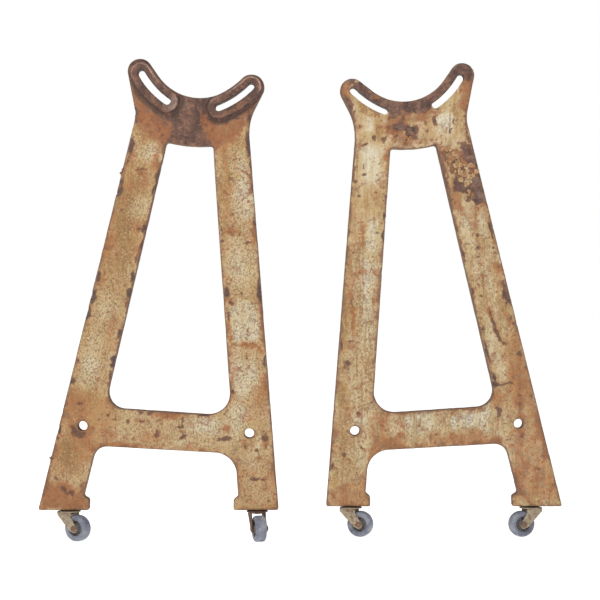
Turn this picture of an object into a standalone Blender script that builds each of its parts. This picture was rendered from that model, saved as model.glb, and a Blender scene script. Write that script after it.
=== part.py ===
# Pair of cast-iron A-frame machine legs on swivel casters.
#
# Each leg is one flat casting: two raking legs, a crossbar, and a curved saddle
# at the top whose two horns carry an arc slot in a raised pad.  Both castings
# come from one pattern.  The left one shows its padded face to -Y, the right
# one is turned half a turn about Z and shows its plain back.  Every foot is
# bored from below for the stem of a 40 mm swivel caster.
#
# Blender 4.5.  Metres, +Z up, Z = 0 is the floor under the wheels.
# Sizes below are millimetres and are scaled by MM when meshes are made.

import math

import bmesh
import bpy
from mathutils import Matrix, Vector

MM = 0.001

# ---------------------------------------------------------------- dimensions
# placing of the pair
FRAME_OFFSET_X = 218.6      # centre of each casting from the middle of the pair
SET_BACK = 45.0             # the right leg stands this much further back than the left
PLANE_Y = {"left": -13.5, "right": -13.5 + SET_BACK}   # middle plane of each casting

# casting
PLATE_T = 20.0              # thickness of the flat casting
EDGE = 1.6                  # broken edge all round
FOOT_Z = 47.0               # underside of the feet above the floor
ARC_STEP = 14.0             # degrees per facet on rounded corners

HORN_L = (-30.7, 720.9)     # centre of the long horn's round end
HORN_R = (140.8, 696.6)     # centre of the short horn's round end
HORN_RAD = 19.6
SADDLE = (61.5, 757.2)      # centre of the saddle arc
SADDLE_RAD = 77.0
HORN_L_LEAN = 11.0          # outer flank of the long horn, degrees from vertical
HORN_R_LEAN = -27.0         # outer flank of the short horn
WAIST_L_RAD = 62.0
WAIST_R_RAD = 84.0

# straight edges, each a point (x, z) and dx/dz
OUTER_L = ((-147.7, 207.8), 0.2475)
INNER_L = ((-34.0, 422.4), 0.2345)
LOWER_L = ((-108.2, 104.1), 0.2490)
OUTER_R = ((169.1, 213.2), -0.0785)
INNER_R = ((93.1, 426.5), -0.0682)
LOWER_R = ((118.0, 89.6), -0.0700)
# crossbar edges, each a point and dz/dx
BAR_TOP = ((10.8, 198.6), -0.0664)
BAR_LOW = ((4.3, 139.8), -0.0560)
WINDOW_TOP = ((61.5, 796.4), 191.5)   # centre and radius of the window's bowed top edge
R_TOP_CORNER = 4.0
R_BAR_TOP_L, R_BAR_TOP_R = 26.0, 32.0
R_BAR_LOW_L, R_BAR_LOW_R = 22.0, 34.0
# toes on the inner side of the feet
TOE_L_X, TOE_R_X = -108.8, 112.4
TOE_H = 22.0

# arc slots: centre of the arc, its radius, and the two end centres
SLOT_L = ((83.1, 780.4), 128.2, (-28.6, 717.8), (11.1, 674.1))
SLOT_R = ((37.2, 800.2), 145.6, (139.7, 696.5), (89.8, 664.7))
SLOT_HALF = 5.1
PAD_HALF = 18.6             # half width of the raised pads round the slots
PAD_H = 6.0                 # how far they stand up from the plate
PAD_EDGE = 2.6

# tie-rod holes
HOLES = ((-118.7, 176.8), (136.9, 165.5))
HOLE_RAD = 7.2

# caster stems, as x along each casting: outer foot, inner foot
STEM_X = {"left": (-139.0, 149.0), "right": (-137.6, 142.0)}
STEM_R = 5.0
STEM_TOP = 75.0
BORE_R = 5.3
BORE_TOP = 77.0

# caster
TRAIL = 14.5
WHEEL_R = 20.0
TYRE_W = 8.5                # half width
TYRE_IN = 11.8
HUB_OUT = 11.5
HUB_BOSS = 8.8              # half width of the hub's boss
FORK_IN = 9.9               # inner face of a fork cheek
FORK_T = 1.8
CROWN_Z = (44.3, 45.8)
CROWN_R = 16.6
TOP_RACE_R = 13.5           # washer between the crown and the foot
TOP_RACE_Z = (46.1, 46.7)
BALL_R = 0.55
BALL_PITCH = 7.3
BALL_Z = 43.45
N_BALLS = 6
LOW_RACE_R = 9.2            # race plate under the balls, between the cheeks
LOW_RACE_Z = (42.0, 42.6)
PIN_R = 4.0
HEAD_R = 5.4
HEAD_Z = (41.1, 41.7)
SLEEVE_R = 4.0
AXLE_R = 2.8

# swivel of each caster at rest: direction of trail, degrees from +X towards +Y
SWIVEL = {
    "left_outer": -28.0,
    "left_inner": -77.0,
    "right_inner": -18.0,
    "right_outer": -165.0,
}

GAP = 0.3


# ---------------------------------------------------------------- 2D helpers
def meet_xz(edge_a, edge_b):
    """Where two near-vertical edges, each (point, dx/dz), cross."""
    (xa, za), ka = edge_a
    (xb, zb), kb = edge_b
    z = (xb - xa + ka * za - kb * zb) / (ka - kb)
    return (xa + ka * (z - za), z)


def meet_bar(edge, bar):
    """Where a near-vertical edge (point, dx/dz) crosses a bar edge (point, dz/dx)."""
    (xa, za), k = edge
    (xb, zb), m = bar
    z = (zb + m * (xa - k * za - xb)) / (1 - m * k)
    return (xa + k * (z - za), z)


def at_height(edge, z):
    (xa, za), k = edge
    return (xa + k * (z - za), z)


def tangent_edge(centre, radius, lean_deg, side):
    """The near-vertical edge leaning lean_deg that touches a circle on its side (-1 left, +1 right)."""
    a = math.radians(lean_deg)
    d = Vector((-math.sin(a), math.cos(a)))      # going up
    n = Vector((-d.y, d.x))                      # left of it
    p = Vector(centre) + n * (radius if side < 0 else -radius)
    return ((p.x, p.y), d.x / d.y)


def cross_tangent(ca, ra, cb, rb, turn):
    """Inner tangent of two circles as (point on a, point on b)."""
    a, b = Vector(ca), Vector(cb)
    d = b - a
    ang = math.atan2(d.y, d.x) + turn * math.acos((ra + rb) / d.length)
    u = Vector((math.cos(ang), math.sin(ang)))
    return a + u * ra, b - u * rb


def meet_lines(p, q, r, s):
    """Crossing of line p-q with line r-s."""
    p, q, r, s = Vector(p), Vector(q), Vector(r), Vector(s)
    d, e = q - p, s - r
    t = (r - p).cross(e) / d.cross(e)
    w = p + d * t
    return (w.x, w.y)


def rounded(corners, step=ARC_STEP):
    """Closed polygon of (x, z, radius) corners, each corner turned into an arc that touches both sides."""
    out = []
    n = len(corners)
    for i in range(n):
        p = Vector(corners[i][:2])
        r = corners[i][2]
        a = Vector(corners[i - 1][:2]) - p
        b = Vector(corners[(i + 1) % n][:2]) - p
        if r <= 0:
            out.append((p.x, p.y))
            continue
        a.normalize()
        b.normalize()
        half = math.acos(max(-1, min(1, a.dot(b)))) / 2
        run = r / math.tan(half)
        bis = (a + b).normalized()
        c = p + bis * (r / math.sin(half))
        s, e = p + a * run - c, p + b * run - c
        sweep = math.atan2(s.cross(e), s.dot(e))
        k = max(2, math.ceil(abs(math.degrees(sweep)) / step))
        for j in range(k + 1):
            t = sweep * j / k
            out.append((
                c.x + s.x * math.cos(t) - s.y * math.sin(t),
                c.y + s.x * math.sin(t) + s.y * math.cos(t),
            ))
    clean = []
    for p in out:
        if not clean or math.dist(p, clean[-1]) > 0.05:
            clean.append(p)
    if math.dist(clean[0], clean[-1]) < 0.05:
        clean.pop()
    return clean


def area(loop):
    return sum(
        a[0] * b[1] - b[0] * a[1] for a, b in zip(loop, loop[1:] + loop[:1])
    ) / 2


def inset(loop, d):
    """Loop moved inwards by d (counter-clockwise loops shrink)."""
    n = len(loop)
    out = []
    for i in range(n):
        p, q, r = Vector(loop[i - 1]), Vector(loop[i]), Vector(loop[(i + 1) % n])
        u, v = (q - p).normalized(), (r - q).normalized()
        nu, nv = Vector((-u.y, u.x)), Vector((-v.y, v.x))
        m = nu + nv
        m /= max(0.35, m.length_squared / 2)
        w = q + m * d
        out.append((w.x, w.y))
    return out


def ring_about(centre, radius, n, start=0.0):
    return [
        (
            centre[0] + radius * math.cos(start + 2 * math.pi * i / n),
            centre[1] + radius * math.sin(start + 2 * math.pi * i / n),
        )
        for i in range(n)
    ]


def arc_band(slot, half, along=6, caps=7, extra=0.0):
    """Counter-clockwise outline of a band of half width `half` round an arc slot's centreline."""
    centre, radius, e0, e1 = slot
    c = Vector(centre)
    a0 = math.atan2(e0[1] - c.y, e0[0] - c.x)
    a1 = math.atan2(e1[1] - c.y, e1[0] - c.x)
    if a0 > a1:
        a0, a1 = a1, a0

    def on(a, r):
        return (c.x + r * math.cos(a), c.y + r * math.sin(a))

    outer = [on(a0 + (a1 - a0) * i / along, radius + half) for i in range(along + 1)]
    inner = [on(a1 + (a0 - a1) * i / along, radius - half) for i in range(along + 1)]
    p1, p0 = on(a1, radius), on(a0, radius)
    cap1 = [
        (p1[0] + half * math.cos(a1 + math.pi * i / caps), p1[1] + half * math.sin(a1 + math.pi * i / caps))
        for i in range(1, caps)
    ]
    cap0 = [
        (p0[0] + half * math.cos(a0 + math.pi + math.pi * i / caps), p0[1] + half * math.sin(a0 + math.pi + math.pi * i / caps))
        for i in range(1, caps)
    ]
    return outer + cap1 + inner + cap0


# ---------------------------------------------------------------- the casting's outline
def casting_outline():
    hl_out = tangent_edge(HORN_L, HORN_RAD, HORN_L_LEAN, -1)
    hr_out = tangent_edge(HORN_R, HORN_RAD, HORN_R_LEAN, +1)
    # flanks of the saddle: inner tangents from each horn's end to the saddle arc
    la, lb = cross_tangent(HORN_L, HORN_RAD, SADDLE, SADDLE_RAD, +1)
    ra, rb = cross_tangent(HORN_R, HORN_RAD, SADDLE, SADDLE_RAD, -1)
    up = lambda e: at_height(e, e[0][1] + 60)
    waist_l = meet_xz(OUTER_L, hl_out)
    waist_r = meet_xz(OUTER_R, hr_out)
    tip_l = meet_lines(hl_out[0], up(hl_out), la, lb)
    tip_r = meet_lines(hr_out[0], up(hr_out), ra, rb)
    dip = meet_lines(la, lb, ra, rb)
    foot_lo = at_height(OUTER_L, FOOT_Z)
    foot_ro = at_height(OUTER_R, FOOT_Z)
    toe_l_top = at_height(LOWER_L, FOOT_Z + TOE_H)
    toe_r_top = at_height(LOWER_R, FOOT_Z + TOE_H)
    bar_l = meet_bar(LOWER_L, BAR_LOW)
    bar_r = meet_bar(LOWER_R, BAR_LOW)
    return rounded([
        (*foot_lo, 3.0),
        (TOE_L_X, FOOT_Z, 3.0),
        (TOE_L_X + 0.6, FOOT_Z + 17.5, 4.5),
        (*toe_l_top, 3.0),
        (*bar_l, R_BAR_LOW_L),
        (*bar_r, R_BAR_LOW_R),
        (*toe_r_top, 3.0),
        (TOE_R_X, FOOT_Z + 16.0, 4.5),
        (TOE_R_X, FOOT_Z, 3.0),
        (*foot_ro, 3.0),
        (*waist_r, WAIST_R_RAD),
        (*tip_r, HORN_RAD),
        (*dip, SADDLE_RAD),
        (*tip_l, HORN_RAD),
        (*waist_l, WAIST_L_RAD),
    ])


def window_outline():
    (cx, cz), r = WINDOW_TOP

    def on_arc(edge):
        """Where the edge meets the bowed top."""
        z = cz - r
        for _ in range(12):
            x = at_height(edge, z)[0]
            z = cz - math.sqrt(r * r - (x - cx) ** 2)
        return (x, z)

    tl, tr = on_arc(INNER_L), on_arc(INNER_R)
    bl, br = meet_bar(INNER_L, BAR_TOP), meet_bar(INNER_R, BAR_TOP)
    a0 = math.atan2(tr[1] - cz, tr[0] - cx)
    a1 = math.atan2(tl[1] - cz, tl[0] - cx)
    mids = [a0 + (a1 - a0) * f for f in (0.2, 0.4, 0.6, 0.8)]
    arc = [(cx + r * math.cos(a), cz + r * math.sin(a), 0) for a in mids]
    return rounded([(*br, R_BAR_TOP_R), (*tr, R_TOP_CORNER), *arc, (*tl, R_TOP_CORNER), (*bl, R_BAR_TOP_L)])


# ---------------------------------------------------------------- mesh helpers
def new_object(name, bm, material, smooth=None, helper=False):
    bmesh.ops.recalc_face_normals(bm, faces=bm.faces)
    mesh = bpy.data.meshes.new(name)
    bm.to_mesh(mesh)
    bm.free()
    if material is not None:
        mesh.materials.append(material)
    if smooth is not None:
        mesh.shade_smooth()
        mesh.set_sharp_from_angle(angle=math.radians(smooth))
    obj = bpy.data.objects.new(name, mesh)
    bpy.context.scene.collection.objects.link(obj)
    if helper:
        obj.hide_render = True
        obj.display_type = "WIRE"
    return obj


def stack_loops(bm, loops):
    """loops: lists of 3D points of one length, bridged one to the next and capped at both ends."""
    rings = [[bm.verts.new(Vector(p) * MM) for p in loop] for loop in loops]
    for a, b in zip(rings, rings[1:]):
        n = len(a)
        for i in range(n):
            j = (i + 1) % n
            bm.faces.new((a[i], a[j], b[j], b[i]))
    bm.faces.new(list(reversed(rings[0])))
    bm.faces.new(rings[-1])


def plate(loop, y0, y1, edge0=0.0, edge1=0.0):
    """Solid between y0 and y1 with the outline `loop` in x, z; edges broken by edge0 at y0 and edge1 at y1."""
    bm = bmesh.new()
    if area(loop) < 0:
        loop = loop[::-1]
    levels = []
    if edge0:
        levels.append((inset(loop, edge0), y0))
        levels.append((loop, y0 + edge0))
    else:
        levels.append((loop, y0))
    if edge1:
        levels.append((loop, y1 - edge1))
        levels.append((inset(loop, edge1), y1))
    else:
        levels.append((loop, y1))
    stack_loops(bm, [[(x, y, z) for x, z in lp] for lp, y in levels])
    return bm


def turned(profile, n, axis="Z", phase=0.0, centre=(0, 0, 0)):
    """Ring solid: a closed (r, h) profile spun about an axis through centre."""
    bm = bmesh.new()
    c = Vector(centre)
    rings = []
    for i in range(n):
        a = phase + 2 * math.pi * i / n
        ring = []
        for r, h in profile:
            if axis == "Z":
                p = Vector((r * math.cos(a), r * math.sin(a), h))
            else:
                p = Vector((r * math.cos(a), h, r * math.sin(a)))
            ring.append(bm.verts.new((c + p) * MM))
        rings.append(ring)
    m = len(profile)
    for i in range(n):
        a, b = rings[i], rings[(i + 1) % n]
        for j in range(m):
            k = (j + 1) % m
            bm.faces.new((a[j], b[j], b[k], a[k]))
    return bm


def solid_turned(profile, n, axis="Z", phase=0.0, centre=(0, 0, 0)):
    """Solid of revolution with closed ends: open (r, h) profile, capped flat at both ends."""
    bm = bmesh.new()
    loops = []
    for r, h in profile:
        loop = []
        for i in range(n):
            a = phase + 2 * math.pi * i / n
            if axis == "Z":
                loop.append((centre[0] + r * math.cos(a), centre[1] + r * math.sin(a), centre[2] + h))
            else:
                loop.append((centre[0] + r * math.cos(a), centre[1] + h, centre[2] + r * math.sin(a)))
        loops.append(loop)
    stack_loops(bm, loops)
    return bm


def boolean(target, tool, operation):
    mod = target.modifiers.new(operation.lower() + "_" + tool.name, "BOOLEAN")
    mod.operation = operation
    mod.object = tool
    return mod


def cut(target, tool_bm, name):
    boolean(target, new_object(name, tool_bm, None, helper=True), "DIFFERENCE")


def settle(obj, helpers):
    """Applies an object's modifiers and removes its helpers, so that copies can share the finished mesh."""
    bpy.context.view_layer.update()
    deps = bpy.context.evaluated_depsgraph_get()
    mesh = bpy.data.meshes.new_from_object(obj.evaluated_get(deps))
    mesh.name = obj.name
    obj.modifiers.clear()
    obj.data = mesh
    for h in helpers:
        bpy.data.objects.remove(h)


def principled(name, colour, roughness, metallic):
    mat = bpy.data.materials.new(name)
    mat.use_nodes = True
    node = mat.node_tree.nodes["Principled BSDF"]
    node.inputs["Base Color"].default_value = (*colour, 1.0)
    node.inputs["Roughness"].default_value = roughness
    node.inputs["Metallic"].default_value = metallic
    return mat


# ---------------------------------------------------------------- casting
def make_casting(name, stem_x, material):
    """A casting about its own centre line, padded face towards -Y; stem_x is where its feet are bored."""
    half = PLATE_T / 2
    body = new_object(name, plate(casting_outline(), -half, half, EDGE, EDGE), material)
    helpers = []

    def add(bm, name, operation):
        tool = new_object(name, bm, material if operation == "UNION" else None, helper=True)
        boolean(body, tool, operation)
        helpers.append(tool)

    # window between the legs, a little wider at both mouths for the broken edge
    window = window_outline()
    wide = inset(window, -EDGE - 0.4)
    bm = bmesh.new()
    if area(window) < 0:
        window, wide = window[::-1], wide[::-1]
    stack_loops(bm, [
        [(x, -half - 0.4, z) for x, z in wide],
        [(x, -half + EDGE, z) for x, z in window],
        [(x, half - EDGE, z) for x, z in window],
        [(x, half + 0.4, z) for x, z in wide],
    ])
    add(bm, "window_cutter", "DIFFERENCE")
    # raised pads round the slots
    for tag, slot in (("l", SLOT_L), ("r", SLOT_R)):
        band = arc_band(slot, PAD_HALF, along=5, caps=8)
        add(plate(band, -half - PAD_H, 0.0, PAD_EDGE, 0.0), "pad_" + tag, "UNION")
    for tag, slot in (("l", SLOT_L), ("r", SLOT_R)):
        band = arc_band(slot, SLOT_HALF, along=4, caps=5)
        add(plate(band, -half - PAD_H - 5, half + 5), "slot_cutter_" + tag, "DIFFERENCE")
    # tie-rod holes
    for i, (x, z) in enumerate(HOLES):
        add(plate(ring_about((x, z), HOLE_RAD, 16), -half - 5, half + 5), "hole_cutter_%d" % i, "DIFFERENCE")
    # bores for the caster stems
    for i, x in enumerate(stem_x):
        bm = solid_turned([(BORE_R, FOOT_Z - 5), (BORE_R, BORE_TOP - 3), (0.6, BORE_TOP)], 10, centre=(x, 0, 0))
        add(bm, "bore_cutter_%d" % i, "DIFFERENCE")
    settle(body, helpers)
    body.data.shade_smooth()
    body.data.set_sharp_from_angle(angle=math.radians(24))
    return body


# ---------------------------------------------------------------- caster
# Made about its swivel axis, floor at Z = 0, trailing towards +X, axle along Y.
def make_fork(material):
    z0, z1 = CROWN_Z
    crown = new_object("fork", solid_turned([(CROWN_R - 0.4, z0), (CROWN_R, z0 + 0.4), (CROWN_R, z1 - 0.4), (CROWN_R - 0.4, z1)], 20), material)
    helpers = []

    def add(bm, name, operation):
        tool = new_object(name, bm, None, helper=True)
        boolean(crown, tool, operation)
        helpers.append(tool)

    out = FORK_IN + FORK_T
    # flat web joining the crown to both cheeks
    web = rounded([(-16.2, -out, 3.0), (9.0, -out, 2.0), (9.0, out, 2.0), (-16.2, out, 3.0)], step=30)
    bm = bmesh.new()
    stack_loops(bm, [[(x, y, z0) for x, y in web], [(x, y, z1) for x, y in web]])
    add(bm, "web", "UNION")
    # cheeks: tapered from the crown down to the axle eye
    eye = (TRAIL, WHEEL_R)
    lead = rounded([
        (-16.2, z1 - 0.2, 0),
        (-15.6, z1 - 6.0, 3.0),
        (eye[0] - 7.4, eye[1] - 3.6, 5.0),
        (eye[0] + 1.5, eye[1] - 7.2, 4.6),
        (eye[0] + 6.6, eye[1] - 2.0, 4.6),
        (9.0, z1 - 8.0, 5.0),
        (9.0, z1 - 0.2, 0),
    ], step=26)
    for side in (-1, 1):
        y0, y1 = sorted((side * FORK_IN, side * out))
        add(plate(lead, y0, y1), "cheek_%d" % side, "UNION")
    add(solid_turned([(PIN_R + GAP, z0 - 3), (PIN_R + GAP, z1 + 3)], 10), "pin_hole", "DIFFERENCE")
    add(solid_turned([(AXLE_R + GAP, -16), (AXLE_R + GAP, 16)], 10, axis="Y", centre=(TRAIL, 0, WHEEL_R)), "axle_hole", "DIFFERENCE")
    settle(crown, helpers)
    crown.data.shade_smooth()
    crown.data.set_sharp_from_angle(angle=math.radians(40))
    return crown


def caster_meshes(mats):
    axle = (TRAIL, 0, WHEEL_R)
    out = FORK_IN + FORK_T
    made = {}
    made["stem"] = new_object("stem", solid_turned([
        (HEAD_R - 0.3, HEAD_Z[0]), (HEAD_R, HEAD_Z[0] + 0.25), (HEAD_R, HEAD_Z[1]),
        (PIN_R, HEAD_Z[1]), (PIN_R, FOOT_Z), (STEM_R, FOOT_Z), (STEM_R, STEM_TOP - 1.5), (STEM_R - 1.5, STEM_TOP),
    ], 10), mats["steel"], 40)
    for name, radius, (lo, hi), n in (("top_race", TOP_RACE_R, TOP_RACE_Z, 18), ("low_race", LOW_RACE_R, LOW_RACE_Z, 16)):
        made[name] = new_object(name, turned([
            (PIN_R + GAP, lo), (radius, lo), (radius, hi), (PIN_R + GAP, hi),
        ], n), mats["zinc"], 40)
    # caged ball ring between the lower race and the crown: the balls are caught in a thin pressed ring
    cage = new_object("ball_ring", turned([
        (BALL_PITCH - 1.2, BALL_Z - 0.2), (BALL_PITCH + 1.2, BALL_Z - 0.2), (BALL_PITCH + 1.2, BALL_Z + 0.2), (BALL_PITCH - 1.2, BALL_Z + 0.2),
    ], 16, phase=math.pi / 16), mats["steel"])
    bm = bmesh.new()
    for i in range(N_BALLS):
        a = 2 * math.pi * i / N_BALLS
        where = Matrix.Translation(Vector((BALL_PITCH * math.cos(a), BALL_PITCH * math.sin(a), BALL_Z)) * MM)
        bmesh.ops.create_icosphere(bm, subdivisions=1, radius=BALL_R * MM, matrix=where)
    balls = new_object("balls", bm, None, helper=True)
    boolean(cage, balls, "UNION")
    settle(cage, [balls])
    cage.data.shade_smooth()
    cage.data.set_sharp_from_angle(angle=math.radians(60))
    made["ball_ring"] = cage
    made["fork"] = make_fork(mats["zinc"])
    # axle rivet: domed head on the near cheek, peened over a washer on the far one
    made["axle_rivet"] = new_object("axle_rivet", solid_turned([
        (1.9, -out - 2.3), (3.7, -out - 1.8), (4.5, -out - GAP), (AXLE_R, -out - GAP),
        (AXLE_R, out + 1.2), (3.7, out + 1.2), (3.2, out + 1.8), (1.6, out + 2.1),
    ], 10, axis="Y", centre=axle), mats["rust"], 40)
    made["axle_washer"] = new_object("axle_washer", turned([
        (AXLE_R + GAP, out + GAP), (5.0, out + GAP), (5.0, out + 0.9), (AXLE_R + GAP, out + 0.9),
    ], 12, axis="Y", centre=axle), mats["steel"], 35)
    made["axle_sleeve"] = new_object("axle_sleeve", turned([
        (AXLE_R + GAP, -FORK_IN + GAP), (SLEEVE_R, -FORK_IN + GAP), (SLEEVE_R, FORK_IN - GAP), (AXLE_R + GAP, FORK_IN - GAP),
    ], 10, axis="Y", centre=axle), mats["steel"], 40)
    b = SLEEVE_R + GAP
    made["hub"] = new_object("hub", turned([
        (b, -HUB_BOSS), (6.2, -HUB_BOSS), (6.8, -4.4), (10.2, -4.4), (10.5, -7.0), (HUB_OUT, -7.0),
        (HUB_OUT, 7.0), (10.5, 7.0), (10.2, 4.4), (6.8, 4.4), (6.2, HUB_BOSS), (b, HUB_BOSS),
    ], 16, axis="Y", centre=axle), mats["hub"], 35)
    made["tyre"] = new_object("tyre", turned([
        (TYRE_IN, -7.4), (16.6, -TYRE_W), (18.9, -7.4), (WHEEL_R, -4.4),
        (WHEEL_R, 4.4), (18.9, 7.4), (16.6, TYRE_W), (TYRE_IN, 7.4),
    ], 24, axis="Y", centre=axle, phase=-math.pi / 2), mats["tyre"], 35)
    return made


def place(mesh_owner, name, parent, move=None):
    obj = bpy.data.objects.new(name, mesh_owner.data)
    bpy.context.scene.collection.objects.link(obj)
    obj.parent = parent
    if move is not None:
        obj.location = move
    return obj


def empty(name, parent=None, at=(0, 0, 0), turn=0.0):
    e = bpy.data.objects.new(name, None)
    bpy.context.scene.collection.objects.link(e)
    e.parent = parent
    e.location = Vector(at) * MM
    e.rotation_euler = (0, 0, math.radians(turn))
    return e


def main():
    for o in list(bpy.data.objects):
        bpy.data.objects.remove(o)

    mats = {
        "paint": principled("worn_paint_on_iron", (0.42, 0.27, 0.13), 0.85, 0.0),
        "zinc": principled("aged_zinc", (0.47, 0.42, 0.30), 0.6, 0.7),
        "steel": principled("dull_steel", (0.30, 0.28, 0.26), 0.5, 0.9),
        "rust": principled("rusted_steel", (0.22, 0.11, 0.06), 0.85, 0.3),
        "hub": principled("dark_hub", (0.09, 0.09, 0.10), 0.6, 0.0),
        "tyre": principled("grey_rubber", (0.27, 0.29, 0.33), 0.7, 0.0),
    }

    castings = {side: make_casting(side + "_casting", STEM_X[side], mats["paint"]) for side in STEM_X}
    caster = caster_meshes(mats)

    # left casting faces -Y, right casting is turned half a turn about Z
    sides = {
        "left": empty("left_leg", at=(-FRAME_OFFSET_X, PLANE_Y["left"], 0)),
        "right": empty("right_leg", at=(FRAME_OFFSET_X, PLANE_Y["right"], 0), turn=180),
    }
    for side, holder in sides.items():
        place(castings[side], side + "_frame", holder)
        for which, x in zip(("outer", "inner"), STEM_X[side]):
            key = side + "_" + which
            sx = -FRAME_OFFSET_X + x if side == "left" else FRAME_OFFSET_X - x
            pivot = empty(key + "_swivel", at=(sx, PLANE_Y[side], 0), turn=SWIVEL[key])
            spin = empty(key + "_spin", parent=pivot, at=(TRAIL, 0, WHEEL_R))
            for part in ("stem", "top_race", "low_race", "ball_ring", "fork", "axle_rivet", "axle_washer", "axle_sleeve"):
                place(caster[part], key + "_" + part, pivot)
            for part in ("hub", "tyre"):
                place(caster[part], key + "_" + part, spin, move=Vector((-TRAIL, 0, -WHEEL_R)) * MM)

    for o in [*castings.values(), *caster.values()]:
        bpy.data.objects.remove(o)
    bpy.context.view_layer.update()


main()
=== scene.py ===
import math

import bmesh
import bpy
import numpy as np
from mathutils import Matrix, Vector


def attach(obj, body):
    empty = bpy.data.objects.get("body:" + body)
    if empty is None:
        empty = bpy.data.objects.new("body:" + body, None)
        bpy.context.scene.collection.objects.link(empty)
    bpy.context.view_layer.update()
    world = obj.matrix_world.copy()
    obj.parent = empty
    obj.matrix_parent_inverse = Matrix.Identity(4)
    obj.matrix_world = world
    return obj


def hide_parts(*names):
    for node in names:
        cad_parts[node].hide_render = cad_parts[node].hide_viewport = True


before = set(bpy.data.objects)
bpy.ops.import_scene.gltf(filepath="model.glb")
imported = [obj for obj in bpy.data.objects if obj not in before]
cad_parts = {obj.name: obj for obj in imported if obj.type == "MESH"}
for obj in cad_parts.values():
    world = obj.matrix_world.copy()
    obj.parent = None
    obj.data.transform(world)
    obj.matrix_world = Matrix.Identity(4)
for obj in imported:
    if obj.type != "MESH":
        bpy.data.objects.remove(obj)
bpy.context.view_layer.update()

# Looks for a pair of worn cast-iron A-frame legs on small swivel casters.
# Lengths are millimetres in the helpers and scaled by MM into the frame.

MM = 0.001

# ------------------------------------------------------------------ the part's own sizes
FRAME_OFFSET_X = 218.6
PLANE_Y = {"left": -13.5, "right": 31.5}
PLATE_T = 20.0
FOOT_Z = 47.0
HORN_L, HORN_R, HORN_RAD = (-30.7, 720.9), (140.8, 696.6), 19.6
SADDLE, SADDLE_RAD = (61.5, 757.2), 77.0
HORN_L_LEAN, HORN_R_LEAN = 11.0, -27.0
WAIST_L_RAD, WAIST_R_RAD = 62.0, 84.0
OUTER_L = ((-147.7, 207.8), 0.2475)
INNER_L = ((-34.0, 422.4), 0.2345)
LOWER_L = ((-108.2, 104.1), 0.2490)
OUTER_R = ((169.1, 213.2), -0.0785)
INNER_R = ((93.1, 426.5), -0.0682)
LOWER_R = ((118.0, 89.6), -0.0700)
BAR_TOP = ((10.8, 198.6), -0.0664)
BAR_LOW = ((4.3, 139.8), -0.0560)
WINDOW_TOP = ((61.5, 796.4), 191.5)
R_TOP_CORNER = 4.0
R_BAR_TOP_L, R_BAR_TOP_R = 26.0, 32.0
R_BAR_LOW_L, R_BAR_LOW_R = 22.0, 34.0
TOE_L_X, TOE_R_X, TOE_H = -108.8, 112.4, 22.0
SLOT_L = ((83.1, 780.4), 128.2, (-28.6, 717.8), (11.1, 674.1))
SLOT_R = ((37.2, 800.2), 145.6, (139.7, 696.5), (89.8, 664.7))
SLOT_HALF, PAD_HALF, PAD_H = 5.1, 18.6, 6.0
HOLES, HOLE_RAD = ((-118.7, 176.8), (136.9, 165.5)), 7.2
STEM_X = {"left": (-139.0, 149.0), "right": (-137.6, 142.0)}
BORE_R, BORE_TOP = 5.3, 77.0
TRAIL, WHEEL_R, TYRE_W, TYRE_IN = 14.5, 20.0, 8.5, 11.8
HUB_OUT, HUB_BOSS, FORK_IN, FORK_T = 11.5, 8.8, 9.9, 1.8
CROWN_Z, CROWN_R = (44.3, 45.8), 16.6
TOP_RACE_R, TOP_RACE_Z = 13.5, (46.1, 46.7)
LOW_RACE_R, LOW_RACE_Z = 9.2, (42.0, 42.6)
PIN_R, SLEEVE_R, AXLE_R, GAP = 4.0, 4.0, 2.8, 0.3
SWIVEL = {"left_outer": -28.0, "left_inner": -77.0, "right_inner": -18.0, "right_outer": -165.0}


# ------------------------------------------------------------------ outlines
def meet_xz(a, b):
    (xa, za), ka = a
    (xb, zb), kb = b
    z = (xb - xa + ka * za - kb * zb) / (ka - kb)
    return (xa + ka * (z - za), z)


def meet_bar(edge, bar):
    (xa, za), k = edge
    (xb, zb), m = bar
    z = (zb + m * (xa - k * za - xb)) / (1 - m * k)
    return (xa + k * (z - za), z)


def at_height(edge, z):
    (xa, za), k = edge
    return (xa + k * (z - za), z)


def tangent_edge(centre, radius, lean_deg, side):
    a = math.radians(lean_deg)
    d = Vector((-math.sin(a), math.cos(a)))
    n = Vector((-d.y, d.x))
    p = Vector(centre) + n * (radius if side < 0 else -radius)
    return ((p.x, p.y), d.x / d.y)


def cross_tangent(ca, ra, cb, rb, turn):
    a, b = Vector(ca), Vector(cb)
    d = b - a
    ang = math.atan2(d.y, d.x) + turn * math.acos((ra + rb) / d.length)
    u = Vector((math.cos(ang), math.sin(ang)))
    return a + u * ra, b - u * rb


def meet_lines(p, q, r, s):
    p, q, r, s = Vector(p), Vector(q), Vector(r), Vector(s)
    d, e = q - p, s - r
    t = (r - p).cross(e) / d.cross(e)
    w = p + d * t
    return (w.x, w.y)


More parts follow.
